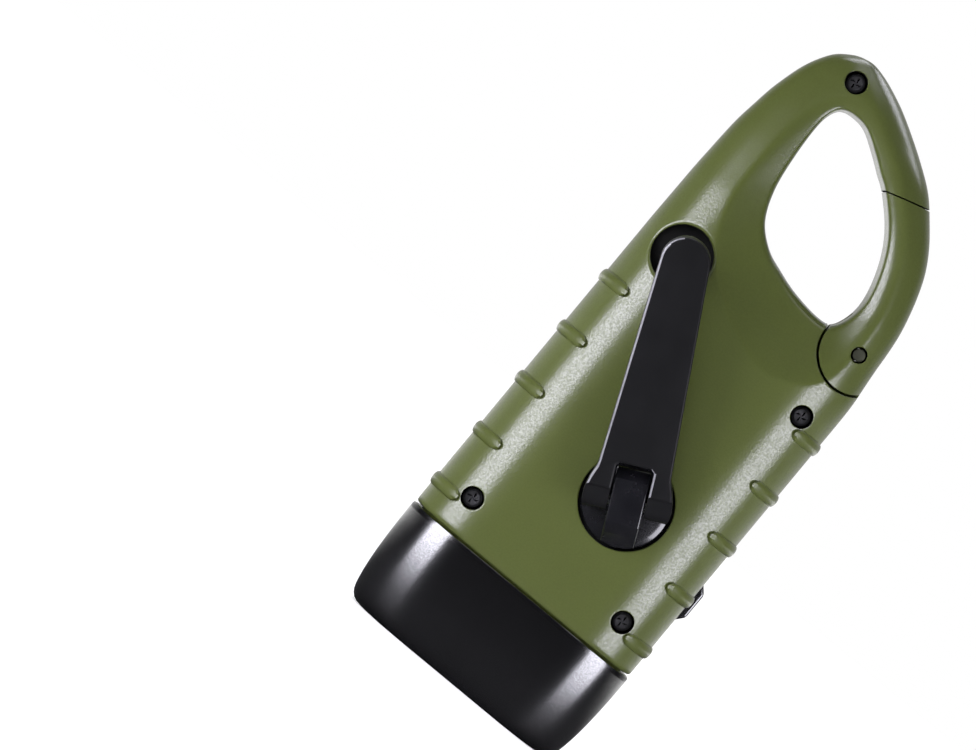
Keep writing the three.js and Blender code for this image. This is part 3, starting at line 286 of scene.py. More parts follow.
@dataclass(frozen=True)
class Finish:
    """A finish and the material that shows it."""

    name: str
    colour: Triple

    def material(self) -> bpy.types.Material:
        """Make the finish's material.

        Returns:
            The material.
        """
        n = Nodes(bpy.data.materials.new(self.name))
        self.wire(n)
        return n.owner

    def wire(self, n: Nodes) -> None:
        """Wire the nodes that give the look."""
        raise NotImplementedError(self.name)


@dataclass(frozen=True)
class MouldedPlastic(Finish):
    """Moulded plastic with a sparkling fine grain."""

    shade: Triple
    roughness: float = 0.42
    spread: float = 0.08
    specular: float = 0.5
    coat: Pair = (0.0, 0.0)
    gloss: float = 1.7
    shine: float = 0.2
    grain: float = 0.0004
    depth: float = 0.000006
    cloud: float = 0.012
    cloudy: Pair = (0.35, 0.65)
    sparkle: Pair = (0.38, 0.62)

    def wire(self, n: Nodes) -> None:
        """Wire the cloudy colour and the sparkling coat.

        Args:
            n: The material's nodes.
        """
        broad = n.noise(self.cloud, 3.0)
        fine = n.noise(self.grain, 2.0)
        finest = n.noise(self.grain * 0.75, 1.0)
        coarse = n.bump(finest, self.depth * 0.25)
        n.surface({
            "Base Color": n.blend(n.ramp(broad, self.cloudy), self.shade, self.colour),
            "Roughness": n.ramp(fine, MOST, around(self.roughness, self.spread)),
            "Specular IOR Level": self.specular,
            "Coat Weight": n.ramp(finest, self.sparkle, self.coat),
            "Coat Roughness": self.shine,
            "Coat IOR": self.gloss,
            "Coat Normal": n.bump(finest, self.depth, coarse),
            "Normal": coarse,
        })


@dataclass(frozen=True)
class SmoothPlastic(Finish):
    """Smooth plastic with faint handling marks."""

    roughness: float = 0.3
    spread: float = 0.06
    specular: float = 0.5
    coat: float = 0.0
    marks: float = 0.004
    grain: float = 0.0006
    depth: float = 0.0000015

    def wire(self, n: Nodes) -> None:
        """Wire the marks.

        Args:
            n: The material's nodes.
        """
        marks = n.noise(self.marks, 4.0)
        n.surface({
            "Base Color": n.blend(n.ramp(marks, MOST), darker(self.colour, 0.86), self.colour),
            "Roughness": n.ramp(marks, MOST, around(self.roughness, self.spread)),
            "Specular IOR Level": self.specular,
            "Coat Weight": self.coat,
            "Coat Roughness": 0.12,
            "Normal": n.bump(n.noise(self.grain, 2.0), self.depth),
        })


@dataclass(frozen=True)
class Metal(Finish):
    """Metal with fine machining lines."""

    roughness: float = 0.3
    spread: float = 0.08
    bare: float = 1.0
    lines: float = 0.0002
    depth: float = 0.000002
    cloud: float = 0.003

    def wire(self, n: Nodes) -> None:
        """Wire the clouds and the lines.

        Args:
            n: The material's nodes.
        """
        lines = n.noise(self.lines, 3.0)
        cloud = n.noise(self.cloud, 3.0)
        n.surface({
            "Base Color": n.blend(n.ramp(cloud, MOST), darker(self.colour, 0.8), self.colour),
            "Metallic": self.bare,
            "Roughness": n.ramp(lines, MOST, around(self.roughness, self.spread)),
            "Normal": n.bump(lines, self.depth),
        })


@dataclass(frozen=True)
class ClearPlastic(Finish):
    """Clear plastic for windows and lenses."""

    alpha: float = 0.25
    haze: float = 0.006
    hazy: Pair = (0.04, 0.09)
    depth: float = 0.000004

    def wire(self, n: Nodes) -> None:
        """Wire the faint haze.

        Args:
            n: The material's nodes.
        """
        haze = n.noise(self.haze, 3.0)
        n.surface({
            "Base Color": (*self.colour, 1.0),
            "Roughness": n.ramp(haze, MOST, self.hazy),
            "Specular IOR Level": 0.6,
            "Alpha": self.alpha,
            "Normal": n.bump(haze, self.depth),
        })


@dataclass(frozen=True)
class SolarFilm(Finish):
    """The dark red solar film with its thin collector lines."""

    deep: Triple
    line: Triple
    first: float = 0.0375
    pitch: float = 0.0042
    width: float = 0.00022
    strength: float = 0.5
    cloud: float = 0.008
    rough: Pair = (0.28, 0.4)

    def wire(self, n: Nodes) -> None:
        """Wire the film and its lines.

        Args:
            n: The material's nodes.
        """
        height = n.add("SeparateXYZ", {"Vector": n.place}).outputs["Z"]
        steps = n.calc("MULTIPLY", n.calc("ADD", height, -self.first), 1 / self.pitch)
        part = n.calc("FRACT", n.calc("ADD", steps, 0.5))
        off = n.calc("ABSOLUTE", n.calc("ADD", part, -0.5))
        half = self.width / self.pitch / 2
        lines = n.ramp(off, (half * 0.5, half * 1.5), (1.0, 0.0))
        cloud = n.noise(self.cloud, 3.0)
        film = n.blend(n.ramp(cloud, MOST), self.deep, self.colour)
        n.surface({
            "Base Color": n.blend(n.calc("MULTIPLY", lines, self.strength), film, self.line),
            "Roughness": n.ramp(cloud, MOST, self.rough),
        })


@dataclass(frozen=True)
class Winding(Finish):
    """A round winding of enamelled wire."""

    wire_width: float = 0.0003
    wave_scale: float = 0.16

    def wire(self, n: Nodes) -> None:
        """Wire the turns.

        Args:
            n: The material's nodes.
        """
        inputs = {"Vector": n.place, "Scale": self.wave_scale / self.wire_width, "Distortion": 0.4}
        waves = n.add("TexWave", inputs, bands_direction="Y").outputs["Fac"]
        n.surface({
            "Base Color": n.blend(waves, darker(self.colour, 0.35), self.colour),
            "Metallic": 0.8,
            "Roughness": n.ramp(waves, (0.0, 1.0), (0.5, 0.3)),
            "Normal": n.bump(waves, 0.00005),
        })


OLIVE = MouldedPlastic(
    "olive_plastic",
    linear(86, 95, 46),
    linear(85, 94, 45),
    roughness=0.32,
    spread=0.02,
    coat=(0.3, 1.0),
    shine=0.22,
    grain=0.0005,
    depth=0.000025,
)
BLACK = MouldedPlastic(
    "black_plastic",
    linear(10, 10, 12),
    linear(8, 8, 10),
    roughness=0.2,
    spread=0.02,
    specular=1.0,
    coat=(0.7, 1.0),
    gloss=2.2,
    shine=0.19,
    depth=0.00001,
)
# Near-black plastic for painted shade inside the holes, the pin's bore and the gate's joint.
PAINTED_SHADE = MouldedPlastic(
    "painted_shade_plastic", linear(16, 16, 15), linear(13, 13, 12), roughness=0.7, spread=0.05, specular=0.2
)
ARM_BLACK = SmoothPlastic("arm_black", linear(26, 26, 27), roughness=0.4, spread=0.03, specular=0.25)
# Light grey painted on the arm's left bevel as a painted highlight.
HIGHLIGHT_EDGE_PAINT = SmoothPlastic("painted_highlight_edge", linear(150, 150, 154), roughness=0.3, specular=0.8)
HUB_BLACK = SmoothPlastic("hub_black", linear(24, 24, 28), roughness=0.24, specular=0.8, coat=1.0)
PANEL_BLACK = MouldedPlastic(
    "panel_black", linear(42, 42, 50), linear(36, 36, 44), roughness=0.38, spread=0.06
)
# Silver painted on the solar frame's ridges and on the window's end edges as painted highlights.
PAINTED_HIGHLIGHT_LINE = Metal("painted_highlight_line", linear(205, 205, 210), roughness=0.32)
STEEL = Metal("steel", linear(200, 202, 205), roughness=0.28)
DULL_STEEL = Metal("dull_steel", linear(84, 86, 70), roughness=0.5, bare=0.3)
DARK_STEEL = Metal("dark_steel", linear(120, 120, 122), roughness=0.5, bare=0.3)
BRASS = Metal("brass", linear(200, 160, 90), roughness=0.35)
MIRROR = Metal("reflector_silver", linear(235, 236, 240), roughness=0.1, spread=0.03)
CLEAR = ClearPlastic("clear_window", linear(235, 240, 245), alpha=0.22)
SOLAR_CLEAR = ClearPlastic("solar_clear", linear(120, 60, 60), alpha=0.12)
SOLAR = SolarFilm("solar_film", linear(88, 32, 30), linear(74, 27, 26), linear(150, 90, 84))
LED_CLEAR = SmoothPlastic("led_epoxy", linear(238, 236, 214), roughness=0.12, coat=0.5)
GEAR_WHITE = SmoothPlastic("gear_plastic", linear(228, 225, 214), roughness=0.45)
BOARD_GREEN = SmoothPlastic("board_lacquer", linear(38, 98, 52), roughness=0.3, coat=0.3)
SLEEVE = SmoothPlastic("sleeve_film", linear(54, 128, 80), roughness=0.3)
RED_SHEATH = SmoothPlastic("red_sheath", linear(165, 34, 30), roughness=0.5)
BLACK_SHEATH = SmoothPlastic("black_sheath", linear(26, 26, 26), roughness=0.5)
COPPER = Winding("copper_winding", linear(190, 110, 60))


# ---------------------------------------------------------------- drawings


def smooth_line(rows: Sequence[Sequence[float]], steps: int, closed: bool = False) -> list[list[float]]:
    """Rows of numbers with smooth steps added between them.

    Args:
        rows: The rows that the line passes through.
        steps: How many steps lie between two rows.
        closed: Whether the last row runs on into the first.

    Returns:
        The finer rows.
    """
    count = len(rows)
    fine = []
    for span in range(count if closed else count - 1):
        near = range(span - 1, span + 3)
        picks = [rows[i % count if closed else min(max(i, 0), count - 1)] for i in near]
        for t in (step / steps for step in range(steps)):
            row = []
            for a, b, c, d in zip(*picks):
                bent = (2 * a - 5 * b + 4 * c - d) * t * t
                row.append(0.5 * (2 * b + (c - a) * t + bent + (3 * b - 3 * c + d - a) * t**3))
            fine.append(row)
    return fine if closed else [*fine, list(rows[-1])]


def bend(centre: Pair, reach: Pair, start: int, steps: int) -> list[Pair]:
    """A quarter of an ellipse, anticlockwise.

    Args:
        centre: Its centre.
        reach: Half its width and half its height.
        start: The quarter that it runs through, counted from nought.
        steps: How many steps it has.

    Returns:
        Its points.
    """
    angles = [(start + step / steps) * QUARTER for step in range(steps + 1)]
    return [(centre[0] + reach[0] * math.cos(a), centre[1] + reach[1] * math.sin(a)) for a in angles]


def rounded_section(
    left: float, right: float, depth: float, round_width: float, flat: float, height: float, steps: int = 18
) -> list[Vector]:
    """A level section with rounded sides.

    Args:
        left: The left side.
        right: The right side.
        depth: Half its depth.
        round_width: The width of each rounding.
        flat: Half the straight part of each side.
        height: Its height.
        steps: Steps in each rounding.

    Returns:
        The section's points in order.
    """
    across = min(round_width, 0.48 * (right - left))
    straight = min(flat, depth / 2)
    reach = (across, depth - straight)
    low, high = left + across, right - across
    corners = ((high, straight), (low, straight), (low, -straight), (high, -straight))
    drawing = [point for i, corner in enumerate(corners) for point in bend(corner, reach, i, steps)]
    return [Vector((x, y, height)) for x, y in drawing]


def rounded_outline(
    left: float, bottom: float, right: float, top: float, radius: float, steps: int = 8
) -> list[Pair]:
    """A rectangle with rounded corners.

    Args:
        left: The left side.
        bottom: The lower side.
        right: The right side.
        top: The upper side.
        radius: The radius of its corners.
        steps: Steps in each corner.

    Returns:
        The outline's points in order.
    """
    low, high = (left + radius, bottom + radius), (right - radius, top - radius)
    corners = ((high[0], low[1]), high, (low[0], high[1]), low)
    reach = (radius, radius)
    return [point for i, corner in enumerate(corners, -1) for point in bend(corner, reach, i, steps)]


def lay(points: Sequence[Pair], depth: float) -> list[Vector]:
    """Points of a drawing across X and Z, laid at a depth along Y."""
    return [Vector((x, depth, z)) for x, z in points]


def ring_edges(verts: Sequence[bmesh.types.BMVert]) -> list[bmesh.types.BMEdge]:
    """The edges that join a ring's corners to each other."""
    own = set(verts)
    return list({edge for vert in verts for edge in vert.link_edges if set(edge.verts) <= own})


# ---------------------------------------------------------------- forms


@dataclass
class Form:
    """A solid on the bench, drawn in millimetres. What draws or works on it returns the form itself."""

    name: str
    mesh: bmesh.types.BMesh | None = field(default_factory=bmesh.new)
    part: bpy.types.Object | None = None

    def ring(self, points: Sequence[Vector]) -> list[bmesh.types.BMVert]:
        """Draw a closed ring that runs through points.

        Args:
            points: The ring's points in order.

        Returns:
            The ring's corners in order.
        """
        circle = bmesh.ops.create_circle(self.mesh, cap_ends=False, radius=1, segments=len(points))
        for vert, point in zip(circle["verts"], points):
            vert.co = point
        return circle["verts"]

    def skin(self, rings: Sequence[Sequence[Vector]]) -> Form:
        """Skin a closed form over rings and cap its two ends.

        Args:
            rings: The rings, each with the same count of points.

        Returns:
            This form.
        """
        made = [self.ring(points) for points in rings]
        edges = [ring_edges(verts) for verts in made]
        for low, high in zip(edges, edges[1:]):
            bmesh.ops.bridge_loops(self.mesh, edges=low + high)
        for end in (made[0], made[-1]):
            bmesh.ops.contextual_create(self.mesh, geom=ring_edges(end))
        return self

    def slab(self, outline: Sequence[Pair], start: float, end: float) -> Form:
        """Draw a slab along Y from an outline across X and Z."""
        return self.skin([lay(outline, start), lay(outline, end)])

    def block(self, outline: Sequence[Pair], start: float, end: float) -> Form:
        """Draw a block along X.

        Args:
            outline: Its outline across Y and Z.
            start: Where it starts.
            end: Where it ends.

        Returns:
            This form.
        """
        for x in (start, end):
            self.ring([Vector((x, y, z)) for y, z in outline])
        bmesh.ops.bridge_loops(self.mesh, edges=list(self.mesh.edges))
        bmesh.ops.holes_fill(self.mesh, edges=list(self.mesh.edges))
        return self

    def turn(
        self, profile: Sequence[Pair], axis: Vector, centre: Triple = (0, 0, 0), steps: int = 64
    ) -> Form:
        """Turn a profile about an axis.

        Args:
            profile: Radius and distance along the axis, from point to point. Where it doesn't close on
                itself, it starts and ends on the axis.
            axis: The axis, of length one.
            centre: The point that distances count from.
            steps: Steps in a full turn.

        Returns:
            This form.
        """
        mesh, middle = self.mesh, Vector(centre)
        side = axis.orthogonal().normalized()
        verts = [mesh.verts.new(middle + side * radius + axis * along) for radius, along in profile]
        links = list(zip(verts, verts[1:]))
        if profile[0][0] > 0:
            links.append((verts[-1], verts[0]))
        geom = verts + [mesh.edges.new(pair) for pair in links]
        bmesh.ops.spin(mesh, geom=geom, cent=middle, axis=axis, angle=TURN, steps=steps, use_merge=True)
        bmesh.ops.remove_doubles(mesh, verts=mesh.verts, dist=1e-4)
        bmesh.ops.recalc_face_normals(mesh, faces=mesh.faces)
        return self

    def rod(
        self,
        radius: float,
        start: float,
        end: float,
        axis: Vector,
        centre: Triple = (0, 0, 0),
        steps: int = 48,
    ) -> Form:
        """Draw a round rod between two distances along an axis."""
        return self.turn([(0.0, start), (radius, start), (radius, end), (0.0, end)], axis, centre, steps)

    def soften(self, width: float, segments: int, steeper: float) -> Form:
        """Round the edges of a drawing where its faces meet at more than an angle.

        Args:
            width: The width of each rounding.
            segments: Faces in each rounding.
            steeper: The least angle between faces, in degrees.

        Returns:
            This form.
        """
        bmesh.ops.recalc_face_normals(self.mesh, faces=self.mesh.faces)
        limit = math.radians(steeper)
        bmesh.ops.bevel(
            self.mesh,
            geom=[e for e in self.mesh.edges if len(e.link_faces) == 2 and e.calc_face_angle(0) > limit],
            offset=width,
            offset_type="OFFSET",
            affect="EDGES",
            segments=segments,
            profile=0.5,
            material=-1,
            clamp_overlap=True,
        )
        return self

    def settle(self) -> bpy.types.Object:
        """Turn the drawing into an object for the modifiers to work on.

        Returns:
            The object on the bench.
        """
        if self.part is None:
            bmesh.ops.recalc_face_normals(self.mesh, faces=self.mesh.faces)
            data = bpy.data.meshes.new(self.name)
            self.mesh.to_mesh(data)
            self.mesh.free()
            self.part = bpy.data.objects.new(self.name + "_bench", data)
            bpy.context.scene.collection.objects.link(self.part)
        return self.part

    def bake(self) -> Form:
        """Apply the modifiers that are on the object.

        Returns:
            This form.
        """
        part = self.settle()
        bpy.context.view_layer.update()
        graph = bpy.context.evaluated_depsgraph_get()
        data = bpy.data.meshes.new_from_object(part.evaluated_get(graph))
        part.modifiers.clear()
        part.data = data
        return self

    def work(self, operation: Operation, *tools: Form, spend: bool = True) -> Form:
        """Add, cut or keep other forms, one after the other.

        Args:
            operation: What is done with each tool.
            tools: The other forms.
            spend: Whether each tool leaves the bench afterwards.

        Returns:
            This form.
        """
        for tool in tools:
            step = self.settle().modifiers.new("step", "BOOLEAN")
            step.operation = operation.value
            step.solver = "MANIFOLD"
            step.object = tool.settle()
            self.bake()
            if spend:
                tool.discard()
        return self

    def flow(self, voxel: float, passes: int) -> Form:
        """Melt the form into one even, softly rounded skin.

        Args:
            voxel: The size of its grid.
            passes: How often it is smoothed.

        Returns:
            This form.
        """
        remesh = self.settle().modifiers.new("grid", "REMESH")
        remesh.mode = "VOXEL"
        remesh.voxel_size = voxel
        smooth = self.part.modifiers.new("smooth", "SMOOTH")
        smooth.factor = 0.5
        smooth.iterations = passes
        return self.bake()

    def move(self, matrix: Matrix) -> Form:
        """Move the form by a matrix."""
        self.settle().data.transform(matrix)
        return self

    def copy(self, name: str) -> Form:
        """Another form with the same shape.

        Args:
            name: The copy's name.

        Returns:
            The copy.
        """
        part = self.settle().copy()
        part.data = part.data.copy()
        part.name = name + "_bench"
        bpy.context.scene.collection.objects.link(part)
        return Form(name, mesh=None, part=part)

    def discard(self) -> None:
        """Take the form off the bench."""
        bpy.data.objects.remove(self.settle(), do_unlink=True)


@dataclass
class Maker:
    """Puts finished pieces into the scene."""

    finishes: dict[str, bpy.types.Material] = field(default_factory=dict)

    def finish(self, sort: Finish) -> bpy.types.Material:
        """The material of a finish, made once.

        Args:
            sort: The finish.

        Returns:
            Its material.
        """
        if sort.name not in self.finishes:
            self.finishes[sort.name] = sort.material()
        return self.finishes[sort.name]

    def place(
        self,
        form: Form,
        body: str,
        nodes: Sequence[str],
        slot: str,
        finishes: Sequence[Finish],
        choose: Callable[[Vector, Vector], int] | None = None,
        smooth: float = 32.0,
    ) -> None:
        """Make a form a piece of the flashlight.

        Args:
            form: The form, in millimetres.
            body: The body that it rides on.
            nodes: The solids that it stands for.
            slot: The record's material slot, which isn't used.
            finishes: Its finishes.
            choose: Picks a finish by the middle and the normal of a face, or none for the first.
            smooth: Edges steeper than this many degrees stay crisp.
        """
        data = form.settle().data.copy()
        piece = bpy.data.objects.new(form.name, data)
        data.name = form.name
        data.materials.clear()
        for sort in finishes:
            data.materials.append(self.finish(sort))
        if choose is not None:
            for face in data.polygons:
                face.material_index = choose(face.center, face.normal)
        data.transform(Matrix.Scale(METRES, 4))
        data.shade_smooth()
        data.set_sharp_from_angle(angle=math.radians(smooth))
        bpy.context.scene.collection.objects.link(piece)
        form.discard()
        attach(piece, body)
        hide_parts(*nodes)
        log.info("placed %s: %d faces", piece.name, len(data.polygons))


@dataclass
class Assembly:
    """Pieces that are built together."""

    maker: Maker


# ---------------------------------------------------------------- the casing


@dataclass
class Casing(Assembly):
    """The two shells with the carabiner, and its gate."""

    nodes: dict[str, bpy.types.Object]
    half_width: float = 26.0
    half_depth: float = 15.0
    round_width: float = 13.5
    flat: float = 2.0
    wall: float = 2.0
    neck_inset: float = 2.0
    neck_wall: float = 3.6
    neck_bottom: float = 14.5
    inner_inset: float = 1.1
    inner_bottom: float = 14.0
    bottom: float = 21.85
    rim: tuple[Pair, ...] = ((0, -0.6), (0.07, -0.36), (0.22, -0.16), (0.45, -0.04), (0.75, 0.0))
    shoulder: float = 84.0
    beyond: float = 19.0
    far: float = 20.0
    seam: float = 0.02
    # What holds one half of the casing: half its width, its bottom, its top and its depth.
    space: tuple[float, float, float, float] = (40.0, -5.0, 150.0, 30.0)
    voxel: float = 0.36
    melt: int = 5
    pin: Pair = (20.5, 96.0)
    knuckle: float = 7.6
    line: float = 0.5
    nose_outer: Pair = (13.0, 125.2)
    nose_inner: Pair = (5.0, 122.8)
    nose_share: float = 0.6
    lug_half: float = 2.25
    lug_radius: float = 6.2
    lug_bore: float = 1.24
    # Webs beside the pin: reach past the knuckle, first and last angle in degrees from +X towards +Z.
    lug_web: Triple = (0.8, 180.0, 313.0)
    slot_web: Triple = (3.0, 135.0, 322.0)
    gate_bore: float = 1.6
    gate_flare: float = 0.15
    rib_inner: float = 20.5
    rib_proud: float = 0.6
    rib_half: float = 1.3
    rib_heights: tuple[float, ...] = (27.5, 39.9, 52.3, 64.7, 77.1)
    screws: tuple[Pair, ...] = ((18.2, 29.2), (-18.2, 29.2), (19.5, 80.2), (-12.5, 135.0))
    screw_hole: float = 2.2
    screw_flare: float = 0.16
    screw_depth: float = 3.6
    head_height: float = 1.8
    hub: Pair = (4.5, 46.9)
    hub_hole: float = 9.1
    hub_flare: float = 0.22
    hub_sink: float = 1.5
    bush: float = 3.9
    pocket: Pair = (-16.9, 89.1)
    pocket_radius: float = 5.9
    pocket_flare: float = 0.9
    pocket_floor: float = 9.0
    button: Pair = (3.7, 39.8)
    button_slot: float = 5.1
    panel_gap: float = 0.3
    # Sections of the upper body and the hook: height, right side, left side and half the depth.
    rows: tuple[tuple[float, float, float, float], ...] = (
        (76.0, 26.0, -26.0, 15.0), (80.0, 26.0, -26.0, 15.0), (84.0, 26.0, -26.0, 15.0),
        (88.0, 25.9, -26.0, 14.85), (92.0, 25.5, -26.0, 14.7), (96.0, 25.1, -25.95, 14.4),
        (100.0, 24.8, -25.9, 14.1), (104.0, 24.3, -25.85, 13.8), (108.0, 23.4, -25.7, 13.35),
        (112.0, 22.2, -25.55, 12.9), (116.0, 20.6, -25.3, 12.45), (120.0, 18.2, -24.75, 12.0),
        (124.0, 15.0, -24.15, 11.55), (128.0, 11.3, -23.2, 10.95), (131.5, 6.5, -22.1, 10.35),
        (134.5, 1.7, -20.65, 9.45), (137.0, -2.8, -18.9, 8.25), (138.8, -7.0, -16.5, 6.75),
        (139.6, -9.5, -14.8, 5.7), (140.0, -11.3, -13.0, 4.5),
    )
    # Points round the carabiner's opening, each with the point of the crease that lies outside it.
    opening: tuple[tuple[float, float, float, float], ...] = (
        (13.2, 97.5, 19.0, 89.0), (10.2, 96.7, 13.0, 83.5), (4.2, 97.5, 7.0, 82.3),
        (-0.8, 99.0, -1.0, 85.0), (-4.9, 100.7, -8.5, 89.3), (-8.9, 104.3, -13.5, 95.0),
        (-11.3, 110.0, -16.8, 103.0), (-12.4, 117.0, -17.6, 112.0), (-12.8, 124.0, -17.6, 123.0),
        (-12.3, 127.5, -16.3, 129.5), (-10.9, 129.5, -13.5, 133.0), (-8.4, 130.0, -9.0, 134.0),
        (-5.4, 129.5, -4.0, 133.0), (-1.35, 127.0, 1.0, 130.0), (1.7, 124.8, 4.5, 127.3),
        (4.7, 122.7, 8.0, 124.5), (9.3, 118.0, 13.2, 119.5), (12.4, 113.0, 16.6, 114.0),
        (14.5, 107.0, 19.2, 107.0), (14.9, 102.0, 20.0, 99.0),
    )
    dish_depth: float = 9.5
    dish_least: float = 0.35
    # Rings of the dish: share of the way out to the crease, of the way down, and of the depth there.
    dish: tuple[Triple, ...] = (
        (1.06, -0.06, 1.0), (1.0, 0.0, 1.0), (0.84, 0.17, 1.0), (0.66, 0.37, 1.0), (0.46, 0.6, 1.0),
        (0.28, 0.8, 1.0), (0.16, 0.93, 1.0), (0.1, 1.0, 1.0), (0.07, 1.0, 0.95), (0.03, 1.0, 0.86),
    )

    def depth_at(self, x: float, z: float) -> float:
        """How far the casing's face stands out from its middle plane.

        Args:
            x: The place across.
            z: The height.

        Returns:
            The depth.
        """
        rows = ((self.bottom, self.half_width, -self.half_width, self.half_depth), *self.rows)
        upper = max(next((i for i, row in enumerate(rows) if row[0] >= z), len(rows) - 1), 1)
        low, high = rows[upper - 1], rows[upper]
        share = (z - low[0]) / (high[0] - low[0])
        right, left, depth = (a + (b - a) * share for a, b in zip(low[1:], high[1:]))
        across = min(self.round_width, 0.48 * (right - left))
        past = max(0.0, x - (right - across), left + across - x) / across
        return self.flat + (depth - self.flat) * math.sqrt(max(0.0, 1 - past * past))

    def body_section(self, offset: float, height: float) -> list[Vector]:
        """The body's section, let out by an offset.

        Args:
            offset: How far it is let out.
            height: Its height.

        Returns:
            The section's points.
        """
        reach, depth = self.half_width + offset, self.half_depth + offset
        return rounded_section(-reach, reach, depth, self.round_width + offset, self.flat, height)

    def trunk(self, name: str, offset: float, bottom: float, top: float) -> Form:
        """A length of the body between two heights, let out by an offset."""
        return Form(name).skin([self.body_section(offset, bottom), self.body_section(offset, top)])

    def solid_form(self) -> Form:
        """The casing's outer form, whole and without its ribs.

        Returns:
            The form.
        """
        rings = [self.body_section(offset, self.bottom + rise) for rise, offset in self.rim]
        rings += [self.body_section(0, height) for height in range(26, 76, 7)]
        for height, right, left, depth in smooth_line(self.rows, 4):
            rings.append(rounded_section(left, right, depth, self.round_width, self.flat, height))
        return Form("casing").skin(rings)

    def ribs(self) -> Form:
        """All grip ribs as one form.

        Returns:
            The form.
        """
        half = self.rib_half
        angles = [math.radians(angle) for angle in range(-90, 91, 15)]
        crown = [(half * math.sin(angle), self.rib_proud * math.cos(angle)) for angle in angles]
        form, keep = Form("ribs"), Form("rib_ends")
        for middle in self.rib_heights:
            profile = ((-half, -1.0), *crown, (half, -1.0))
            form.skin([self.body_section(offset, middle + rise) for rise, offset in profile])
            for sign in (-1, 1):
                left, right = sorted((sign * self.rib_inner, sign * 2 * self.rib_inner))
                ends = rounded_outline(left, middle - half, right, middle + half, half - 0.01)
                keep.slab(ends, -self.far, self.far)
        return form.work(Operation.KEEP, keep)

    def opening_form(self) -> Form:
        """What the carabiner's opening and its dished faces take away.

        Returns:
            The form.
        """
        fine = smooth_line(self.opening, 6, closed=True)

        def ring(share: float, sunk: float, part: float) -> list[Vector]:
            """One ring between the opening and the crease.

            Args:
                share: Its share of the way out to the crease.
                sunk: Its share of the way down from the casing's face.
                part: The share of the depth there, with the side's sign.

            Returns:
                Its points.
            """
            points = []
            for x, z, outer_x, outer_z in fine:
                px, pz = x + (outer_x - x) * share, z + (outer_z - z) * share
                outer = self.depth_at(px, pz)
                inner = min(self.dish_depth, outer - self.dish_least)
                points.append(Vector((px, part * (outer + (inner - outer) * sunk), pz)))
            return points

        faces = []
        for side in Side:
            rings = [ring(share, sunk, side.value * part) for share, sunk, part in self.dish]
            outermost = [Vector((point.x, side.value * self.beyond, point.z)) for point in rings[0]]
            faces.append([outermost, *rings])
        return Form("opening").skin([*faces[0], ring(0.0, 1.0, 0.0), *reversed(faces[1])])

    def nose(self) -> tuple[Vector, Vector, Vector]:
        """The line of the joint at the nose.

        Returns:
            Its inner end, the direction along it outwards, and the direction across it.
        """
        inner = Vector(self.nose_inner)
        along = (Vector(self.nose_outer) - inner).normalized()
        return inner, along, Vector((-along.y, along.x))

    def gate_region(self, gap: float, name: str) -> Form:
        """The space that the gate takes, let out by a gap at its two joints.

        Args:
            gap: The gap at the nose and the knuckle.
            name: The form's name.

        Returns:
            The form.
        """
        inner, along, across = self.nose()
        shift = across * gap * self.nose_share
        x, z = self.pin
        end = Vector(self.nose_outer) + along * self.knuckle + shift
        right = self.half_width + 8
        outline = [
            tuple(inner - along * 2 + shift),
            (x - self.knuckle - 3, z + 2 * self.knuckle),
            (x - self.knuckle, z + 2),
            (x, z),
            (right, z),
            (right, end.y),
            tuple(end),
        ]
        knuckle = Form(name + "_knuckle")
        knuckle.rod(self.knuckle + gap, -self.beyond, self.beyond, ALONG_Y, (x, 0, z), 96)
        return Form(name).slab(outline, -self.beyond, self.beyond).work(Operation.ADD, knuckle)

    def mouth(self, name: str, radius: float, centre: Pair, floor: float, flare: float, steps: int) -> Form:
        """A hole into the crank's side with a rounded mouth.

        Args:
            name: The form's name.
            radius: Its radius.
            centre: Its place across and up.
            floor: The depth of its floor from the middle plane.
            flare: The radius of its mouth's rounding.
            steps: Steps in a full turn.

        Returns:
            The form.
        """
        rows = [(radius + flare, -4.0), (radius + flare, -0.02)]
        for angle in (step / 6 * QUARTER for step in range(1, 7)):
            rows.append((radius + flare - flare * math.sin(angle), flare * (1 - math.cos(angle))))
        rings = []
        for reach, sunk in rows:
            ring = []
            for angle in (step / steps * TURN for step in range(steps)):
                x, z = centre[0] + reach * math.cos(angle), centre[1] + reach * math.sin(angle)
                ring.append(Vector((x, sunk - self.depth_at(x, z), z)))
            rings.append(ring)
        rings.append([Vector((point.x, -floor, point.z)) for point in rings[-1]])
        return Form(name).skin(rings)

    def half(self, side: Side, name: str) -> Form:
        """The space on one side of the parting plane.

        Args:
            side: The side.
            name: The form's name.

        Returns:
            The form.
        """
        wide, low, high, deep = self.space
        outline = [(-wide, low), (wide, low), (wide, high), (-wide, high)]
        return Form(name).slab(outline, *sorted((side.value * self.seam, side.value * deep)))

    def inner_features(self, node: str) -> Form:
        """The bosses, posts and neck inside a shell, from its solid.

        Args:
            node: The shell's solid.

        Returns:
            The form.
        """
        form = Form(node + "_inner")
        form.mesh.from_mesh(self.nodes[node].data)
        bmesh.ops.remove_doubles(form.mesh, verts=form.mesh.verts, dist=2e-6)
        bmesh.ops.scale(form.mesh, vec=(1 / METRES,) * 3, verts=form.mesh.verts)
        top = self.shoulder - 2
        return form.work(
            Operation.KEEP, self.trunk(node + "_region", -self.inner_inset, self.inner_bottom, top)
        )

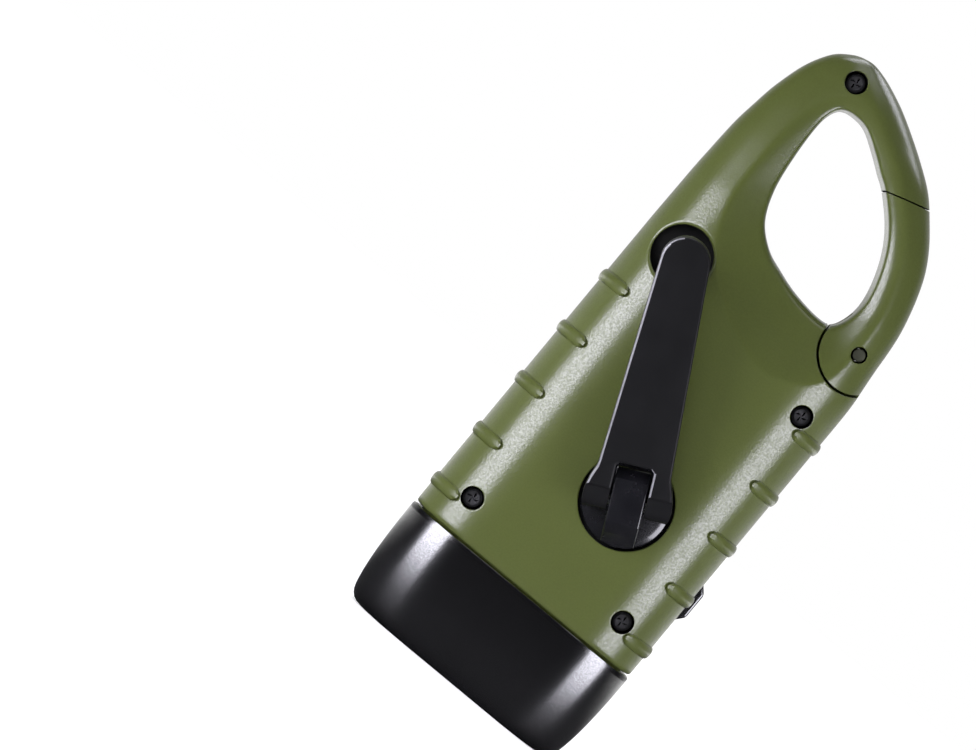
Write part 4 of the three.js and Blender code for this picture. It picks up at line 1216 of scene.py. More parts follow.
    def disc_and_web(self, name: str, gap: float, web: Triple, steps: int) -> Form:
        """The gate's lug, or the slot for it: a disc about the pin with a web to one side.

        Args:
            name: The form's name.
            gap: How far the disc is let out all round.
            web: The web's reach past the knuckle, and its first and last angle in degrees.
            steps: Steps in the disc's turn.

        Returns:
            The form.
        """
        x, z = self.pin
        reach, start, end = web
        half, radius = self.lug_half + gap, self.knuckle + reach
        angles = [math.radians(start + (end - start) * i / 20) for i in range(21)]
        arc = [(x + radius * math.cos(a), z + radius * math.sin(a)) for a in angles]
        disc = Form(name).rod(self.lug_radius + gap, -half, half, ALONG_Y, (x, 0, z), steps)
        return disc.work(Operation.ADD, Form(name + "_web").slab([(x, z), *arc], -half, half))

    def gate_lug(self, whole: Form) -> Form:
        """The lug on the casing that carries the gate.

        Args:
            whole: The whole casing's form, which the lug stays inside.

        Returns:
            The form.
        """
        x, z = self.pin
        bore = Form("lug_bore").rod(self.lug_bore, -8.0, 8.0, ALONG_Y, (x, 0, z))
        lug = self.disc_and_web("lug", 0.0, self.lug_web, 48)
        return lug.work(Operation.CUT, bore).work(Operation.KEEP, whole, spend=False)

    def make_gate(self, whole: Form) -> None:
        """Make the gate from the whole carabiner.

        Args:
            whole: The whole casing's form.
        """
        x, z = self.pin
        face, rim, flare = self.depth_at(x, z), self.gate_bore, self.gate_bore + self.gate_flare
        near = [(0.0, -self.far), (flare, -self.far), (flare, -face), (rim, -face + 0.2)]
        profile = [*near, *((radius, -along) for radius, along in reversed(near))]
        bore = Form("gate_bore").turn(profile, ALONG_Y, (x, 0, z), 48)
        slot = self.disc_and_web("gate_slot", self.line, self.slot_web, 64)
        gate = whole.copy("gate").work(Operation.KEEP, self.gate_region(0.0, "gate_space"))
        gate.work(Operation.CUT, slot, bore)
        # The bore of the pin gets painted shade.
        self.maker.place(gate, "gate", ["gate"], "olive_plastic", [OLIVE, PAINTED_SHADE], self.shade_in_bore)

    @staticmethod
    def near(point: Vector, place: Pair, radius: float) -> bool:
        """Whether a point lies within a radius of a place across and up."""
        return math.hypot(point.x - place[0], point.z - place[1]) < radius

    def shade_in_bore(self, point: Vector, _normal: Vector) -> int:
        """Whether a point of the gate lies in the bore of its pin, where shade is painted in."""
        inside = abs(point.y) < self.depth_at(point.x, point.z) - 0.1
        return 1 if inside and self.near(point, self.pin, self.gate_bore + 0.06) else 0

    def shade_in_joint(self, point: Vector, normal: Vector) -> int:
        """Whether a face lies in the joint between the gate and the nose, where shade is painted in.

        Args:
            point: The middle of the face.
            normal: Its normal.

        Returns:
            The number of its finish.
        """
        inner, _, across = self.nose()
        away = (Vector((point.x, point.z)) - inner).dot(across)
        facing = abs(Vector((normal.x, normal.z)).dot(across))
        return 1 if -0.05 < away < self.line + 0.05 and facing > 0.8 and point.z > 110 else 0

    def shade_in_hole(self, point: Vector, normal: Vector) -> int:
        """Whether a face of the crank's side lies in the joint or inside one of the holes, where shade is
        painted in.

        Args:
            point: The middle of the face.
            normal: Its normal.

        Returns:
            The number of its finish.
        """
        # Below each hole's mouth, its walls get painted shade.
        holes = [(place, self.screw_hole + 0.06, -self.far, 0.5) for place in self.screws]
        holes.append((self.pocket, self.pocket_radius + 0.12, self.pocket_floor - 0.5, 0.4))
        holes.append((self.hub, self.hub_hole + 0.05, 10, 0.25))
        for place, radius, floor, edge in holes:
            if self.near(point, place, radius) and floor < -point.y < self.depth_at(*place) - edge:
                return 1
        return self.shade_in_joint(point, normal)

    def build(self) -> None:
        """Build both shells and the gate."""
        whole = self.solid_form().work(Operation.CUT, self.opening_form()).flow(self.voxel, self.melt)
        whole.work(Operation.ADD, self.ribs())
        self.make_gate(whole)
        lug = self.gate_lug(whole)
        neck = self.trunk("neck", -self.neck_inset, self.neck_bottom, self.bottom + 2)
        hollow = self.trunk("hollow", -self.wall, self.bottom + 2, self.shoulder - 3)
        hollow.work(Operation.ADD, self.trunk("neck_hollow", -self.neck_wall, 8.0, self.bottom + 5))
        whole.work(Operation.CUT, self.gate_region(self.line, "gate_clearance"))
        whole.work(Operation.ADD, neck).work(Operation.CUT, hollow).work(Operation.ADD, lug)
        self.make_shell(whole, Side.SOLAR)
        self.make_shell(whole, Side.CRANK)
        whole.discard()

    def make_shell(self, whole: Form, side: Side) -> None:
        """Make one shell from the whole casing.

        Args:
            whole: The whole casing's form, hollow.
            side: Which shell.
        """
        node = "rear_shell" if side is Side.CRANK else "front_shell"
        shell = whole.copy(node).work(Operation.KEEP, self.half(side, node + "_half"))
        shell.work(Operation.ADD, self.inner_features(node))
        shell.work(Operation.CUT, *(self.crank_side_cuts() if side is Side.CRANK else self.solar_side_cuts()))
        # The holes and the joint get painted shade.
        choose = self.shade_in_hole if side is Side.CRANK else self.shade_in_joint
        self.maker.place(shell, "casing", [node], "olive_plastic", [OLIVE, PAINTED_SHADE], choose)

    def crank_side_cuts(self) -> list[Form]:
        """The holes in the shell that carries the crank.

        Returns:
            The forms.
        """
        cuts = []
        for i, place in enumerate(self.screws):
            seat = self.depth_at(*place) - self.screw_depth
            floor = seat - self.head_height - 0.3
            cuts.append(self.mouth(f"screw_hole_{i}", self.screw_hole, place, floor, self.screw_flare, 40))
        x, z = self.hub
        floor = self.half_depth - self.hub_sink
        return [
            *cuts,
            self.mouth("hub_recess", self.hub_hole, self.hub, floor, self.hub_flare, 96),
            Form("bush_hole").rod(self.bush, -self.far, 0.0, ALONG_Y, (x, 0, z)),
            self.mouth(
                "knob_pocket", self.pocket_radius, self.pocket, self.pocket_floor, self.pocket_flare, 80
            ),
        ]

    def solar_side_cuts(self) -> list[Form]:
        """The seats of the solar panel and the push button.

        Returns:
            The forms.
        """
        panel = SolarPanel(self.maker)
        y, z = self.button
        outline = rounded_outline(-1.0, z - self.button_slot, y + 3.5, z + self.button_slot, 0.6)
        return [
            Form("panel_seat").slab(panel.outline(-self.panel_gap), self.half_depth - 1.0, self.far),
            Form("panel_hole").slab(panel.boss_outline(-self.panel_gap), self.half_depth - 4, self.far),
            Form("button_slot").block(outline, 22.0, 29.0),
        ]


# ---------------------------------------------------------------- the head


@dataclass
class Head(Assembly):
    """The black head with its lens, reflector and three LEDs."""

    height: float = 21.5
    half_width: float = 26.3
    half_depth: float = 15.3
    round_width: float = 13.5
    flat: float = 2.0
    front_taper: float = 0.3
    wall: float = 2.0
    window: Pair = (17.0, 7.5)
    rim: float = 2.6
    lens_top: float = 4.4
    lens_gap: float = 0.3
    cup_mouth: float = 5.2
    cup_throat: float = 2.1
    cup_places: Triple = (-11.0, 0.0, 11.0)
    reflector_top: float = 13.0
    led_radius: float = 1.7
    led_tip: float = 9.8
    led_base: float = 13.0
    # The head's outside: heights, each with how far the section is drawn in there.
    profile: tuple[Pair, ...] = (
        (0.0, 4.6), (0.0, 4.2), (0.12, 3.55), (0.45, 2.85), (1.0, 2.25), (1.7, 1.82), (2.6, 1.5),
        (3.8, 1.22), (5.4, 0.94), (7.5, 0.66), (10.0, 0.43), (13.0, 0.24), (16.5, 0.1), (20.4, 0.02),
        (21.1, 0.06), (21.4, 0.2), (21.5, 0.5),
    )

    def section(self, inset: float, height: float) -> list[Vector]:
        """The head's section, drawn in by an inset.

        Args:
            inset: How far it is drawn in.
            height: Its height.

        Returns:
            The section's points.
        """
        reach, depth = self.half_width - inset, self.half_depth - self.front_taper * inset
        return rounded_section(-reach, reach, depth, self.round_width - inset / 2, self.flat, height, 22)

    def window_form(self, name: str, steps: Sequence[Pair]) -> Form:
        """A form with the outline of the window, whose ends are round.

        Args:
            name: Its name.
            steps: Its heights, each with how far the outline is let out there.

        Returns:
            The form.
        """
        rings = []
        for height, more in steps:
            wide, deep = (size + more for size in self.window)
            outline = rounded_outline(-wide, -deep, wide, deep, deep - 0.01, 16)
            rings.append([Vector((x, y, height)) for x, y in outline])
        return Form(name).skin(rings)

    def build(self) -> None:
        """Build the head."""
        bezel = Form("head_bezel").skin([self.section(inset, height) for height, inset in self.profile])
        spans = ((self.wall + 1.1, self.rim), (self.wall, self.height / 2), (self.wall, self.height + 3))
        inner = Form("bezel_inner").skin([self.section(*span) for span in spans])
        steps = ((-2.0, 0.35), (0.0, 0.35), (0.12, 0.12), (0.4, 0.0), (self.rim + 2, 0.0))
        bezel.work(Operation.CUT, inner, self.window_form("bezel_window", steps))
        self.maker.place(bezel, "casing", ["head_bezel"], "black_plastic", [BLACK])
        self.make_lens()
        self.make_reflector()
        self.make_lamps()

    def make_lens(self) -> None:
        """Make the flush window of the lamp."""
        ledge, gap = self.rim + 0.3, self.lens_gap
        steps = ((0.0, -0.55), (0.06, -0.38), (0.2, -gap), (ledge, -gap), (ledge, 2.0), (self.lens_top, 2.0))
        lens = self.window_form("lens", steps)
        self.maker.place(lens, "casing", ["lens"], "clear_plastic", [CLEAR])

    def make_reflector(self) -> None:
        """Make the silvered block with its three cups."""
        start, top = self.lens_top + self.lens_gap, self.reflector_top
        profile = [(0.0, start - 1), (self.cup_mouth, start - 1)]
        for share in (step / 12 for step in range(13)):
            radius = self.cup_throat + (self.cup_mouth - self.cup_throat) * math.sqrt(1 - share)
            profile.append((radius, start + (top - 2 - start) * share))
        profile += [(self.cup_throat, top + 1), (0.0, top + 1)]
        block = self.window_form("reflector", ((start, 2), (top, 2)))
        block.work(Operation.CUT, *(Form("cup").turn(profile, ALONG_Z, (x, 0, 0)) for x in self.cup_places))
        self.maker.place(block, "casing", ["reflector"], "reflector_plastic", [MIRROR])

    def make_lamps(self) -> None:
        """Make the three round LEDs."""
        radius, tip, base = self.led_radius, self.led_tip, self.led_base
        profile = [(0.0, tip)]
        for angle in (step / 8 * QUARTER for step in range(1, 9)):
            profile.append((radius * math.sin(angle), tip + radius * 0.6 * (1 - math.cos(angle))))
        profile += [(radius, base - 0.5), (radius + 0.25, base - 0.45), (radius + 0.25, base), (0.0, base)]
        for name, x in zip(("led_right", "led_middle", "led_left"), self.cup_places):
            lamp = Form(name).turn(profile, ALONG_Z, (x, 0, 0), 40)
            self.maker.place(lamp, "casing", [name], "led_epoxy", [LED_CLEAR])


# ---------------------------------------------------------------- the solar panel


@dataclass
class SolarPanel(Assembly):
    """The raised frame with the solar cell under its window."""

    half_width: float = 16.6
    bottom: float = 27.8
    top: float = 78.6
    bulge: float = 2.2
    corner: float = 2.6
    face: float = 15.0
    rise: float = 2.3
    seat: float = 0.7
    boss_inset: float = 3.2
    window_half: float = 11.05
    window_bottom: float = 33.0
    window_top: float = 73.0
    window_corner: float = 1.8
    glass_gap: float = 0.3
    ridge_half: float = 13.4
    groove: float = 0.3
    groove_depth: float = 0.22

    def outline(self, inset: float) -> list[Pair]:
        """The frame's outline: square at the head's end and bowed at the other.

        Args:
            inset: How far it is drawn in.

        Returns:
            Its points, anticlockwise.
        """
        left, right = -self.half_width + inset, self.half_width - inset
        top, corner = self.top - inset, self.corner
        low, reach = self.bottom + inset + corner, (corner, corner)
        return [
            *bend((right - corner, low), reach, -1, 8),
            *self.curve((right, top - corner), (right, top), (right - corner, top), 8),
            *self.curve((right - corner, top), (0.0, top + 2 * self.bulge), (left + corner, top), 24)[1:],
            *self.curve((left + corner, top), (left, top), (left, top - corner), 8)[1:],
            *bend((left + corner, low), reach, 2, 8),
        ]

    @staticmethod
    def curve(start: Pair, pull: Pair, end: Pair, steps: int) -> list[Pair]:
        """Points on a curve that is pulled towards a corner.

        Args:
            start: Its first point.
            pull: The corner.
            end: Its last point.
            steps: How many steps it has.

        Returns:
            The points.
        """
        points = []
        for t in (step / steps for step in range(steps + 1)):
            a, b, c = (1 - t) ** 2, 2 * t * (1 - t), t * t
            points.append(tuple(a * p + b * q + c * r for p, q, r in zip(start, pull, end)))
        return points

    def boss_outline(self, inset: float) -> list[Pair]:
        """The part of the frame that drops into the casing.

        Args:
            inset: How far it is drawn in.

        Returns:
            Its points.
        """
        side = self.boss_inset + inset
        right = self.half_width - side
        return rounded_outline(-right, self.bottom + side, right, self.top - side, self.window_corner)

    def window(self, inset: float) -> list[Pair]:
        """The window's outline, drawn in by an inset."""
        half, bottom, top = self.window_half - inset, self.window_bottom + inset, self.window_top - inset
        return rounded_outline(-half, bottom, half, top, self.window_corner)

    def build(self) -> None:
        """Build the panel."""
        base = self.face - self.seat
        crown = self.face + self.rise
        edge = (
            (base, 0.05), (self.face + 0.25, 0.0), (self.face + 0.55, 0.08), (self.face + 0.8, 0.3),
            (crown - 0.35, 1.75), (crown - 0.1, 2.1), (crown, 2.6),
        )
        well = ((-2.4, 0.0), (-0.75, 0.0), (-0.3, -0.45), (0, -0.75), (3, -0.75))
        frame = Form("solar_frame").skin([lay(self.outline(inset), depth) for depth, inset in edge])
        frame.work(Operation.ADD, Form("panel_boss").slab(self.boss_outline(0.0), base - 1.8, base + 0.5))
        frame.work(
            Operation.CUT,
            Form("panel_well").skin([lay(self.window(inset), crown + rise) for rise, inset in well]),
            Form("panel_back").slab(self.window(2.0), base - 5, crown),
            *self.groove_forms(crown),
        )
        # The ridges and the window's end edges get painted highlights.
        finishes = [PANEL_BLACK, PAINTED_HIGHLIGHT_LINE]
        self.maker.place(frame, "casing", ["solar_frame"], "black_plastic", finishes, self.painted_highlight_part)
        top = crown - 1.6
        cell = Form("solar_cell").slab(self.window(self.glass_gap), top - 0.8, top)
        self.maker.place(cell, "casing", ["solar_cell"], "solar_film", [SOLAR])
        glass = ((-1.3, self.glass_gap), (-0.62, self.glass_gap), (-0.5, self.glass_gap + 0.15))
        cover = Form("solar_window").skin([lay(self.window(inset), crown + rise) for rise, inset in glass])
        self.maker.place(cover, "casing", ["solar_window"], "clear_plastic", [SOLAR_CLEAR])

    def groove_forms(self, crown: float) -> list[Form]:
        """The thin grooves that part the two ridges at each end, which carry painted highlights.

        Args:
            crown: The height of the frame's face.

        Returns:
            The forms.
        """
        forms = []
        for low in (29.3, 30.25, 75.25, 76.2):
            outline = rounded_outline(-self.ridge_half, low, self.ridge_half, low + self.groove, 0.14, 4)
            forms.append(Form("ridge_groove").slab(outline, crown - self.groove_depth, crown + 1))
        return forms

    def painted_highlight_part(self, point: Vector, _normal: Vector) -> int:
        """Whether a face of the frame belongs to a ridge or to the window's end edge, which get painted
        highlights.

        Args:
            point: The middle of the face.
            _normal: Its normal, which isn't needed.

        Returns:
            The number of its finish.
        """
        crown = self.face + self.rise
        if point.y < crown - 0.8 or abs(point.x) > self.ridge_half:
            return 0
        ridge = 29.6 < point.z < 30.25 or 75.55 < point.z < 76.2
        end = 31.9 < point.z < 33.05 or 72.95 < point.z < 74.0
        edge = end and abs(point.x) < self.window_half - 0.6 and point.y < crown - 0.02
        return 1 if ridge or edge else 0


# ---------------------------------------------------------------- the crank


def cross_recess(floor: Vector, reach: float, half: float, height: float) -> Form:
    """The cross that a screwdriver turns, open towards +Y or -Y.

    Args:
        floor: The middle of its floor.
        reach: How far each arm reaches.
        half: Half the width of each arm.
        height: How far it runs out of the head, with its sign.

    Returns:
        The form.
    """
    outline = []
    for angle in (quarter * QUARTER for quarter in range(4)):
        for across, along in ((half, half), (half, reach), (-half, reach)):
            x = along * math.sin(angle) + across * math.cos(angle)
            z = along * math.cos(angle) - across * math.sin(angle)
            outline.append((floor.x + x, floor.z + z))
    return Form("cross").slab(outline, *sorted((floor.y, floor.y + height)))


@dataclass
class Crank(Assembly):
    """The crank: its hub, folding arm, hinge pin and knob."""

    centre: Pair = (4.5, 46.9)
    angle: float = 26.2
    lift: float = 8.0
    pivot: float = 18.6
    hub_radius: float = 8.6
    disc_top: float = 16.0
    disc_bottom: float = 13.8
    dome: float = 1.3
    shaft: float = 2.5
    bore: float = 1.1
    pin: float = 0.9
    pin_half: float = 7.9
    reach: float = 46.8
    half_thickness: float = 1.8
    tip_radius: float = 4.7
    slot_half: float = 3.6
    slot_length: float = 7.5
    tongue_half: float = 3.25
    knob_radius: float = 4.0
    knob_length: float = 6.0
    knob_bore: float = 1.5
    screw_shank: float = 1.2
    # The tongue from the side, as depth and height.
    tongue_side: tuple[Pair, ...] = (
        (-14.1, -9.2), (-14.9, -9.2), (-16.2, -7.6), (-17.9, -6.2), (-20.1, -4.1), (-20.1, 4.2),
        (-17.9, 6.6), (-14.1, 6.6),
    )
    # The arm's right edge beside the slot, from its root up.
    arm_edge: tuple[Pair, ...] = (
        (8.15, -2.1), (8.42, -0.9), (8.5, 0.6), (8.35, 2.0), (7.95, 3.6), (7.5, 4.9), (7.1, 5.9),
        (6.95, 7.0),
    )
    # The slope that is cut from the arm's root, as depth and height.
    root_slope: tuple[Pair, ...] = (
        (-1.81, 2.5), (-4.0, 2.5), (-4.0, -4.0), (2.8, -4.0), (2.8, -2.4), (0.6, -2.3), (-0.35, -2.05),
        (-1.05, -1.5), (-1.46, -0.6), (-1.58, 0.5), (-1.45, 1.7), (-1.55, 2.2),
    )

    def stand(self, form: Form) -> Form:
        """Move a form from the crank's own frame, with its arm along +Z, to its place."""
        x, z = self.centre
        return form.move(Matrix.Translation((x, 0, z)) @ Matrix.Rotation(-math.radians(self.angle), 4, "Y"))

    def fold(self, form: Form) -> Form:
        """Move a form from the arm's own frame to its place."""
        hinge = Matrix.Translation((0, -self.pivot, 0))
        return self.stand(form.move(hinge @ Matrix.Rotation(math.radians(self.lift), 4, "X")))

    def build(self) -> None:
        """Build the crank."""
        self.make_hub()
        self.make_arm()
        self.make_knob()

    def make_hub(self) -> None:
        """Make the disc with its tongue and shaft."""
        radius, top, bottom, dome = self.hub_radius, self.disc_top, self.disc_bottom, self.dome
        profile = [
            (0.0, 1.7), (1.3, 1.7), (1.3, 2.9), (self.shaft, 2.9), (self.shaft, bottom),
            (radius - 0.3, bottom), (radius, bottom + 0.3), (radius, top - 1.75),
            (radius - 0.1, top - 1.5), (radius - 0.35, top - dome),
        ]
        for share in (1 - step / 8 for step in range(1, 9)):
            profile.append(((radius - 0.35) * share, top - dome * share**2))
        hub = Form("crank_hub").turn(profile, -ALONG_Y, steps=96)
        tongue = Form("tongue").block(self.tongue_side, -self.tongue_half, self.tongue_half)
        tongue.soften(0.32, 3, 15)
        tongue.work(Operation.KEEP, Form("tongue_edge").rod(radius - 0.12, 10.0, 24.0, -ALONG_Y, steps=96))
        bore = Form("hinge_bore").rod(self.bore, -9.0, 9.0, ALONG_X, (0, -self.pivot, 0), 24)
        hub.work(Operation.ADD, tongue).work(Operation.CUT, bore)
        self.maker.place(self.stand(hub), "crank", ["crank_hub"], "gloss_black_plastic", [HUB_BLACK])

    def arm_outline(self) -> list[Pair]:
        """The arm's outline, from the right end of its root round its tip to the left.

        Returns:
            The points.
        """
        wide, start = self.arm_edge[-1]
        radius, reach = self.tip_radius, self.reach
        taper = math.asin((wide - radius) / (reach - start))
        angles = [taper + (math.pi - 2 * taper) * step / 24 for step in range(25)]
        tip = [(radius * math.cos(a), reach + radius * math.sin(a)) for a in angles]
        left = [(-x, z) for x, z in reversed(self.arm_edge)]
        half, length, root = self.slot_half, self.slot_length, self.arm_edge[0][1]
        slot = [(-half, root), (-half, length - 0.6), (-half + 0.6, length)]
        slot += [(half - 0.6, length), (half, length - 0.6), (half, root)]
        return [*self.arm_edge, *tip, *left, *slot]

    def make_arm(self) -> None:
        """Make the forked arm and its hinge pin."""
        half = self.half_thickness
        arm = Form("crank_arm").slab(self.arm_outline(), -half, half).soften(0.42, 3, 50)
        arm.work(
            Operation.CUT,
            Form("root_slope").block(self.root_slope, -12.0, 12.0),
            Form("arm_bore").rod(self.bore, -12.0, 12.0, ALONG_X, steps=24),
            Form("knob_seat").rod(1.4, -0.6, 4.0, ALONG_Y, (0, 0, self.reach), 32),
        )
        self.fold(arm)
        # The arm's left bevel gets a painted highlight.
        finishes = [ARM_BLACK, HIGHLIGHT_EDGE_PAINT]
        self.maker.place(arm, "crank_handle", ["crank_arm"], "black_plastic", finishes, self.has_painted_highlight)

        end, radius = self.pin_half, self.pin
        profile = [(0.0, -end), (radius - 0.2, -end), (radius, 0.2 - end)]
        profile += [(radius, end - 0.2), (radius - 0.2, end), (0.0, end)]
        pin = Form("crank_hinge_pin").turn(profile, ALONG_X, steps=32)
        self.maker.place(self.fold(pin), "crank_handle", ["crank_hinge_pin"], "steel", [STEEL])

    def has_painted_highlight(self, _point: Vector, normal: Vector) -> int:
        """Whether a face belongs to the front bevel on the arm's left edge, which gets a painted highlight.

        Args:
            _point: The middle of the face, which isn't needed.
            normal: Its normal.

        Returns:
            The number of its finish.
        """
        turn = math.radians(self.angle)
        across = -normal.x * math.cos(turn) - normal.z * math.sin(turn)
        return 1 if across > 0.2 and -normal.y > 0.3 else 0

    def make_knob(self) -> None:
        """Make the knob, waisted for the finger, and the screw that it turns on."""
        start = self.half_thickness + 0.3
        end = start + self.knob_length
        sink = end - 2.2
        radius, bore, shank = self.knob_radius, self.knob_bore, self.screw_shank
        tip = (0, 0, self.reach)
        profile = [
            (bore, start), (radius - 0.5, start), (radius - 0.15, start + 0.15), (radius, start + 0.5),
            (radius - 0.12, start + 1.4), (radius - 0.3, start + 3.0), (radius - 0.15, end - 1.4),
            (radius, end - 0.8), (radius - 0.15, end - 0.3), (radius - 0.6, end), (2.75, end),
            (2.5, end - 0.25), (2.5, sink), (bore, sink),
        ]
        knob = Form("crank_knob").turn(profile, ALONG_Y, tip, 72)
        self.maker.place(self.fold(knob), "knob", ["crank_knob"], "black_plastic", [BLACK])

        head = sink + 0.3
        profile = [(0.0, -0.3), (shank, -0.3), (shank, head), (2.15, head), (2.2, head + 0.2)]
        profile += [(2.1, head + 0.9), (1.5, head + 1.2), (0.0, head + 1.3)]
        screw = Form("knob_screw").turn(profile, ALONG_Y, tip, 48)
        screw.work(Operation.CUT, cross_recess(Vector((0, head + 0.7, self.reach)), 1.2, 0.22, 2.0))
        self.maker.place(self.fold(screw), "crank_handle", ["knob_screw"], "dark_steel", [DARK_STEEL])


# ---------------------------------------------------------------- fittings


@dataclass
class Fittings(Assembly):
    """The casing screws, the gate's pin and the push button."""

    casing: Casing
    screw_head: float = 1.9
    shank: float = 1.15
    lengths: tuple[float, ...] = (13.5, 13.5, 13.5, 9.0)
    pin_radius: float = 1.2
    pin_edge: float = 0.07
    pin_sink: float = 1.4
    button_half: float = 4.8
    button_top: float = 2.7
    button_deep: float = 3.2
    button_proud: float = 1.4
    button_root: float = 22.2
    button_shoulder: float = 25.6
    flange: float = 1.5
    flange_half: float = 6.0

    def build(self) -> None:
        """Build the fittings."""
        for i, (place, length) in enumerate(zip(self.casing.screws, self.lengths)):
            self.make_screw(f"case_screw_{i + 1}", place, length)
        self.make_pin()
        self.make_button()

    def make_screw(self, name: str, place: Pair, length: float) -> None:
        """Make one casing screw.

        Args:
            name: The screw's name.
            place: Its place across and up.
            length: Its length.
        """
        x, z = place
        seat = self.casing.depth_at(x, z) - self.casing.screw_depth
        under, end, radius = self.casing.head_height - seat, length - seat, self.screw_head
        profile = [(0.0, -seat), (1.3, 0.05 - seat), (radius - 0.25, 0.35 - seat), (radius, 0.75 - seat)]
        profile += [(radius, under), (self.shank, under), (self.shank, end - 0.8), (0.3, end), (0.0, end)]
        screw = Form(name).turn(profile, ALONG_Y, (x, 0, z), 40)
        screw.work(Operation.CUT, cross_recess(Vector((x, 0.85 - seat, z)), 1.15, 0.24, -3.0))
        self.maker.place(screw, "casing", [name], "dark_steel", [DARK_STEEL])

    def make_pin(self) -> None:
        """Make the gate's pin, whose end shows in its hole."""
        x, z = self.casing.pin
        reach = self.casing.depth_at(x, z) - self.pin_sink
        radius, edge = self.pin_radius, self.pin_edge
        end = [(radius, reach - edge), (radius - edge, reach), (0.0, reach)]
        profile = [*((wide, -along) for wide, along in reversed(end)), *end]
        pin = Form("gate_pin").turn(profile, ALONG_Y, (x, 0, z), 40)
        self.maker.place(pin, "casing", ["gate_pin"], "steel", [DULL_STEEL], smooth=30.0)

    def make_button(self) -> None:
        """Make the push button with its flange behind the casing's wall."""
        y, z = self.casing.button
        root, shoulder = self.button_root, self.button_shoulder
        crown = self.casing.half_width + self.button_proud
        near, low, high = y - self.button_deep, z - self.button_half, z + self.button_half
        side = [(root, low), (shoulder, low), (crown, z - self.button_top)]
        side += [(crown, z + self.button_top), (shoulder, high), (root, high)]
        button = Form("push_button").slab(side, near, y + self.button_deep).soften(0.5, 4, 20)
        back, low, high = root + self.flange, z - self.flange_half, z + self.flange_half
        plate = [(root, low), (back, low), (back, high), (root, high)]
        button.work(Operation.ADD, Form("button_flange").slab(plate, near, y + self.button_deep + 1.2))
        self.maker.place(button, "button", ["push_button"], "black_plastic", [BLACK])


WORKS: tuple[tuple[Finish, tuple[str, ...]], ...] = (
    (STEEL, ("gate_spring", "idler_pin_one", "idler_pin_two", "gear_plate", "rotor_pinion", "stator_core")),
    (STEEL, ("plate_screw_1", "plate_screw_2", "plate_screw_3")),
    (STEEL, ("battery_cell_1", "battery_cell_2", "battery_cell_3")),
    (DARK_STEEL, ("rotor_magnet",)),
    (HUB_BLACK, ("button_switch",)),
    (BLACK, ("generator_cover",)),
    (BRASS, ("crank_bush",)),
    (GEAR_WHITE, ("crank_gear", "idler_gear_one", "idler_gear_two")),
    (COPPER, ("stator_coil",)),
    (BOARD_GREEN, ("led_board", "main_board")),
    (SLEEVE, ("battery_sleeve",)),
    (RED_SHEATH, ("coil_wire_red", "battery_wire_red", "led_wire_red", "solar_wire_red")),
    (BLACK_SHEATH, ("coil_wire_black", "battery_wire_black", "led_wire_black", "solar_wire_black")),
)


@dataclass
class Works(Assembly):
    """The pieces inside, which keep their solids and get their finishes."""

    nodes: dict[str, bpy.types.Object]

    def build(self) -> None:
        """Dress the solids that stay."""
        for finish, names in WORKS:
            material = self.maker.finish(finish)
            for name in names:
                node = self.nodes[name]
                if not node.material_slots:
                    node.data.materials.append(material)
                for slot in node.material_slots:
                    slot.material = material
            log.info("dressed %d solids in %s", len(names), material.name)


# ---------------------------------------------------------------- the studio


@dataclass(frozen=True)
class Lamp:
    """A soft lamp, with its lengths in metres and its power in watts."""

    name: str
    place: Triple
    aim: Triple
    size: Pair
    power: float
    shine: bool = True

    def hang(self, colour: Triple) -> None:
        """Hang the lamp.

        Args:
            colour: The colour of its light.
        """
        light = bpy.data.lights.new(self.name, "AREA")
        light.shape = "RECTANGLE"
        light.size, light.size_y = self.size
        light.energy = self.power
        light.color = colour
        stand = bpy.data.objects.new(self.name, light)
        stand.visible_glossy = self.shine
        stand.location = self.place
        stand.rotation_mode = "QUATERNION"
        stand.rotation_quaternion = (Vector(self.place) - Vector(self.aim)).to_track_quat("Z", "Y")
        bpy.context.scene.collection.objects.link(stand)


MIDDLE = (0.0, 0.0, 0.07)
LOW = (0.0, 0.0, 0.012)
LAMPS = (
    Lamp("front", (-0.35, -1.0, 0.3), MIDDLE, (0.45, 0.45), 2.1, shine=False),
    Lamp("left", (-0.163, -0.116, 0.012), LOW, (0.125, 0.226), 0.57),
    Lamp("right", (0.168, -0.109, 0.012), LOW, (0.125, 0.226), 0.45),
    Lamp("overhead", (-0.05, -0.12, 0.75), MIDDLE, (0.5, 0.4), 0.5),
    Lamp("back_left", (-0.2, 0.3, 0.68), MIDDLE, (0.3, 0.3), 0.8),
    Lamp("back_right", (0.2, 0.3, 0.68), MIDDLE, (0.3, 0.3), 0.8),
)


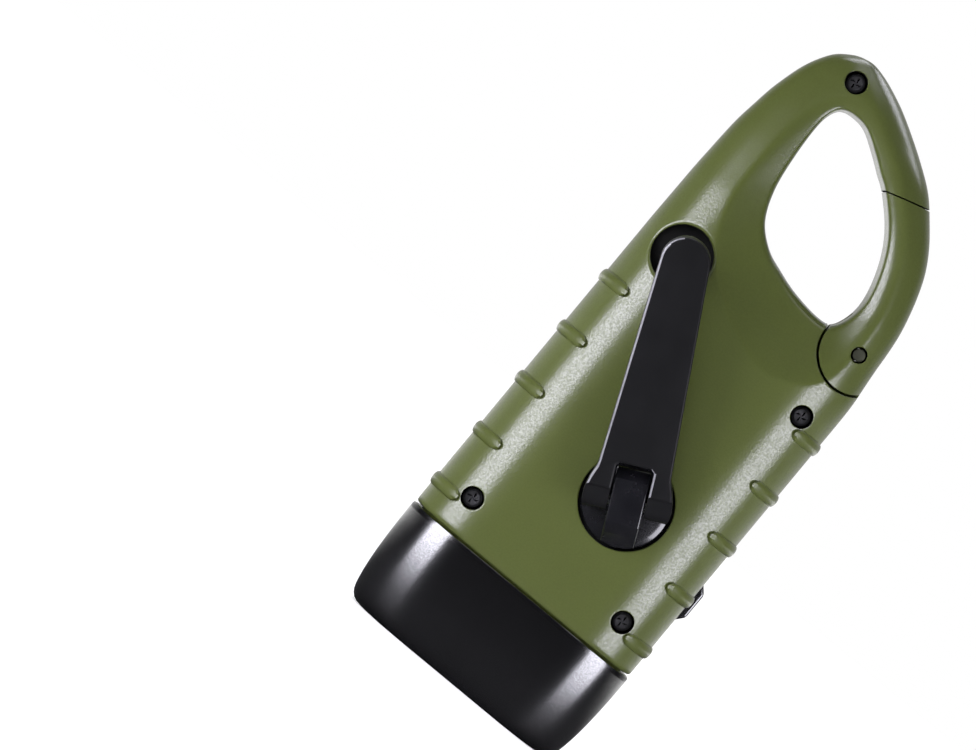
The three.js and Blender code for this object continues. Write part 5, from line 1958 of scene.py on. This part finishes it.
@dataclass
class Studio:
    """The camera, the soft lamps, the pale floor and the white surroundings."""

    roll: float = 39.7
    side_step: float = 1.4
    lens: float = 293.5
    sensor: float = 36.0
    clip: Pair = (0.01, 20.0)
    distance: float = 1.5
    middle: Triple = (0.0, -0.002, 0.07)
    image: tuple[int, int] = (976, 750)
    image_place: Pair = (685.6, 391.5)
    cool: Triple = (0.98, 0.97, 1.08)
    floor_half: float = 4000.0
    floor_height: float = -0.05
    floor_gloss: float = 0.03
    ambient: Pair = (0.19, 0.4)
    glossy: Pair = (0.01, 0.5)

    def build(self) -> None:
        """Set up the studio."""
        self.set_camera()
        for lamp in LAMPS:
            lamp.hang(self.cool)
        self.set_floor()
        self.set_world()
        bpy.context.scene.view_settings.view_transform = "Standard"

    def set_camera(self) -> None:
        """Place the camera square to the crank's side, rolled as in the photograph."""
        roll, step = math.radians(self.roll), math.radians(self.side_step)
        back = Vector((-math.sin(step), -math.cos(step), 0))
        level = Vector((math.cos(step), -math.sin(step), 0))
        right = level * math.cos(roll) + ALONG_Z * math.sin(roll)
        top = ALONG_Z * math.cos(roll) - level * math.sin(roll)
        camera = bpy.data.cameras.new("camera")
        camera.lens = self.lens
        camera.sensor_width = self.sensor
        width, height = self.image
        camera.shift_x = (width / 2 - self.image_place[0]) / width
        camera.shift_y = (self.image_place[1] - height / 2) / width
        camera.clip_start, camera.clip_end = self.clip
        stand = bpy.data.objects.new("camera", camera)
        turn = Matrix((right, top, back)).transposed()
        stand.matrix_world = Matrix.Translation(Vector(self.middle) + back * self.distance) @ turn.to_4x4()
        bpy.context.scene.collection.objects.link(stand)
        bpy.context.scene.camera = stand

    def set_floor(self) -> None:
        """Lay the pale floor that the flashlight stands on."""
        form, half = Form("floor"), self.floor_half
        for x, y in rounded_outline(-half, -half, half, half, 100.0, 2):
            form.mesh.verts.new((x, y, self.floor_height))
        form.mesh.faces.new(form.mesh.verts)
        floor = form.move(Matrix.Scale(METRES, 4)).part
        floor.name = "floor"
        n = Nodes(bpy.data.materials.new("floor_paper"))
        paper = n.blend(n.noise(0.02, 4.0), linear(236, 236, 236), linear(240, 240, 240))
        light = n.add("LightPath").outputs
        behind = n.ramp(n.add("SeparateXYZ", {"Vector": n.place}).outputs["Y"], (0.05, 0.5))
        gloss = n.calc("MULTIPLY", light["Is Glossy Ray"], behind)
        clear = n.calc("MAXIMUM", gloss, light["Is Transmission Ray"])
        seen = n.calc("MAXIMUM", light["Is Camera Ray"], clear)
        away = n.add("VectorMath", {0: n.place}, operation="LENGTH").outputs["Value"]
        n.surface({
            "Base Color": n.dim(paper, light["Is Glossy Ray"], self.floor_gloss),
            "Roughness": 0.9,
            "Emission Color": WHITE,
            "Emission Strength": n.calc("MULTIPLY", seen, n.ramp(away, (0.06, 0.6), (0.6, 1.0))),
        })
        floor.data.materials.append(n.owner)

    def set_world(self) -> None:
        """Surround the flashlight with soft light, dim before it and brighter behind it.

        The camera and clear plastic see the surroundings as white, and gloss sees some of that.
        """
        world = bpy.data.worlds.new("surroundings")
        bpy.context.scene.world = world
        n = Nodes(world, "Background")
        path = n.add("LightPath").outputs
        toward = n.add("SeparateXYZ", {"Vector": n.add("TexCoord").outputs["Generated"]}).outputs["Y"]
        soft = n.ramp(n.ramp(toward, (-0.6, 0.7)), (0.0, 1.0), self.ambient)
        shine = n.ramp(toward, (0.5, 1.0), self.glossy)
        lit = n.mix(path["Is Glossy Ray"], soft, shine)
        seen = n.calc("MAXIMUM", path["Is Camera Ray"], path["Is Transmission Ray"])
        n.surface({"Color": WHITE, "Strength": n.mix(seen, lit, 1.0)})


def main() -> None:
    """Build the flashlight, dress it and light it."""
    logging.basicConfig(level=logging.INFO, format="%(name)s: %(message)s")
    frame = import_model()
    maker = Maker()
    Studio().build()
    casing = Casing(maker, frame["nodes"])
    casing.build()
    Head(maker).build()
    SolarPanel(maker).build()
    Crank(maker).build()
    Fittings(maker, casing).build()
    Works(maker, frame["nodes"]).build()


if __name__ == "__main__":
    main()
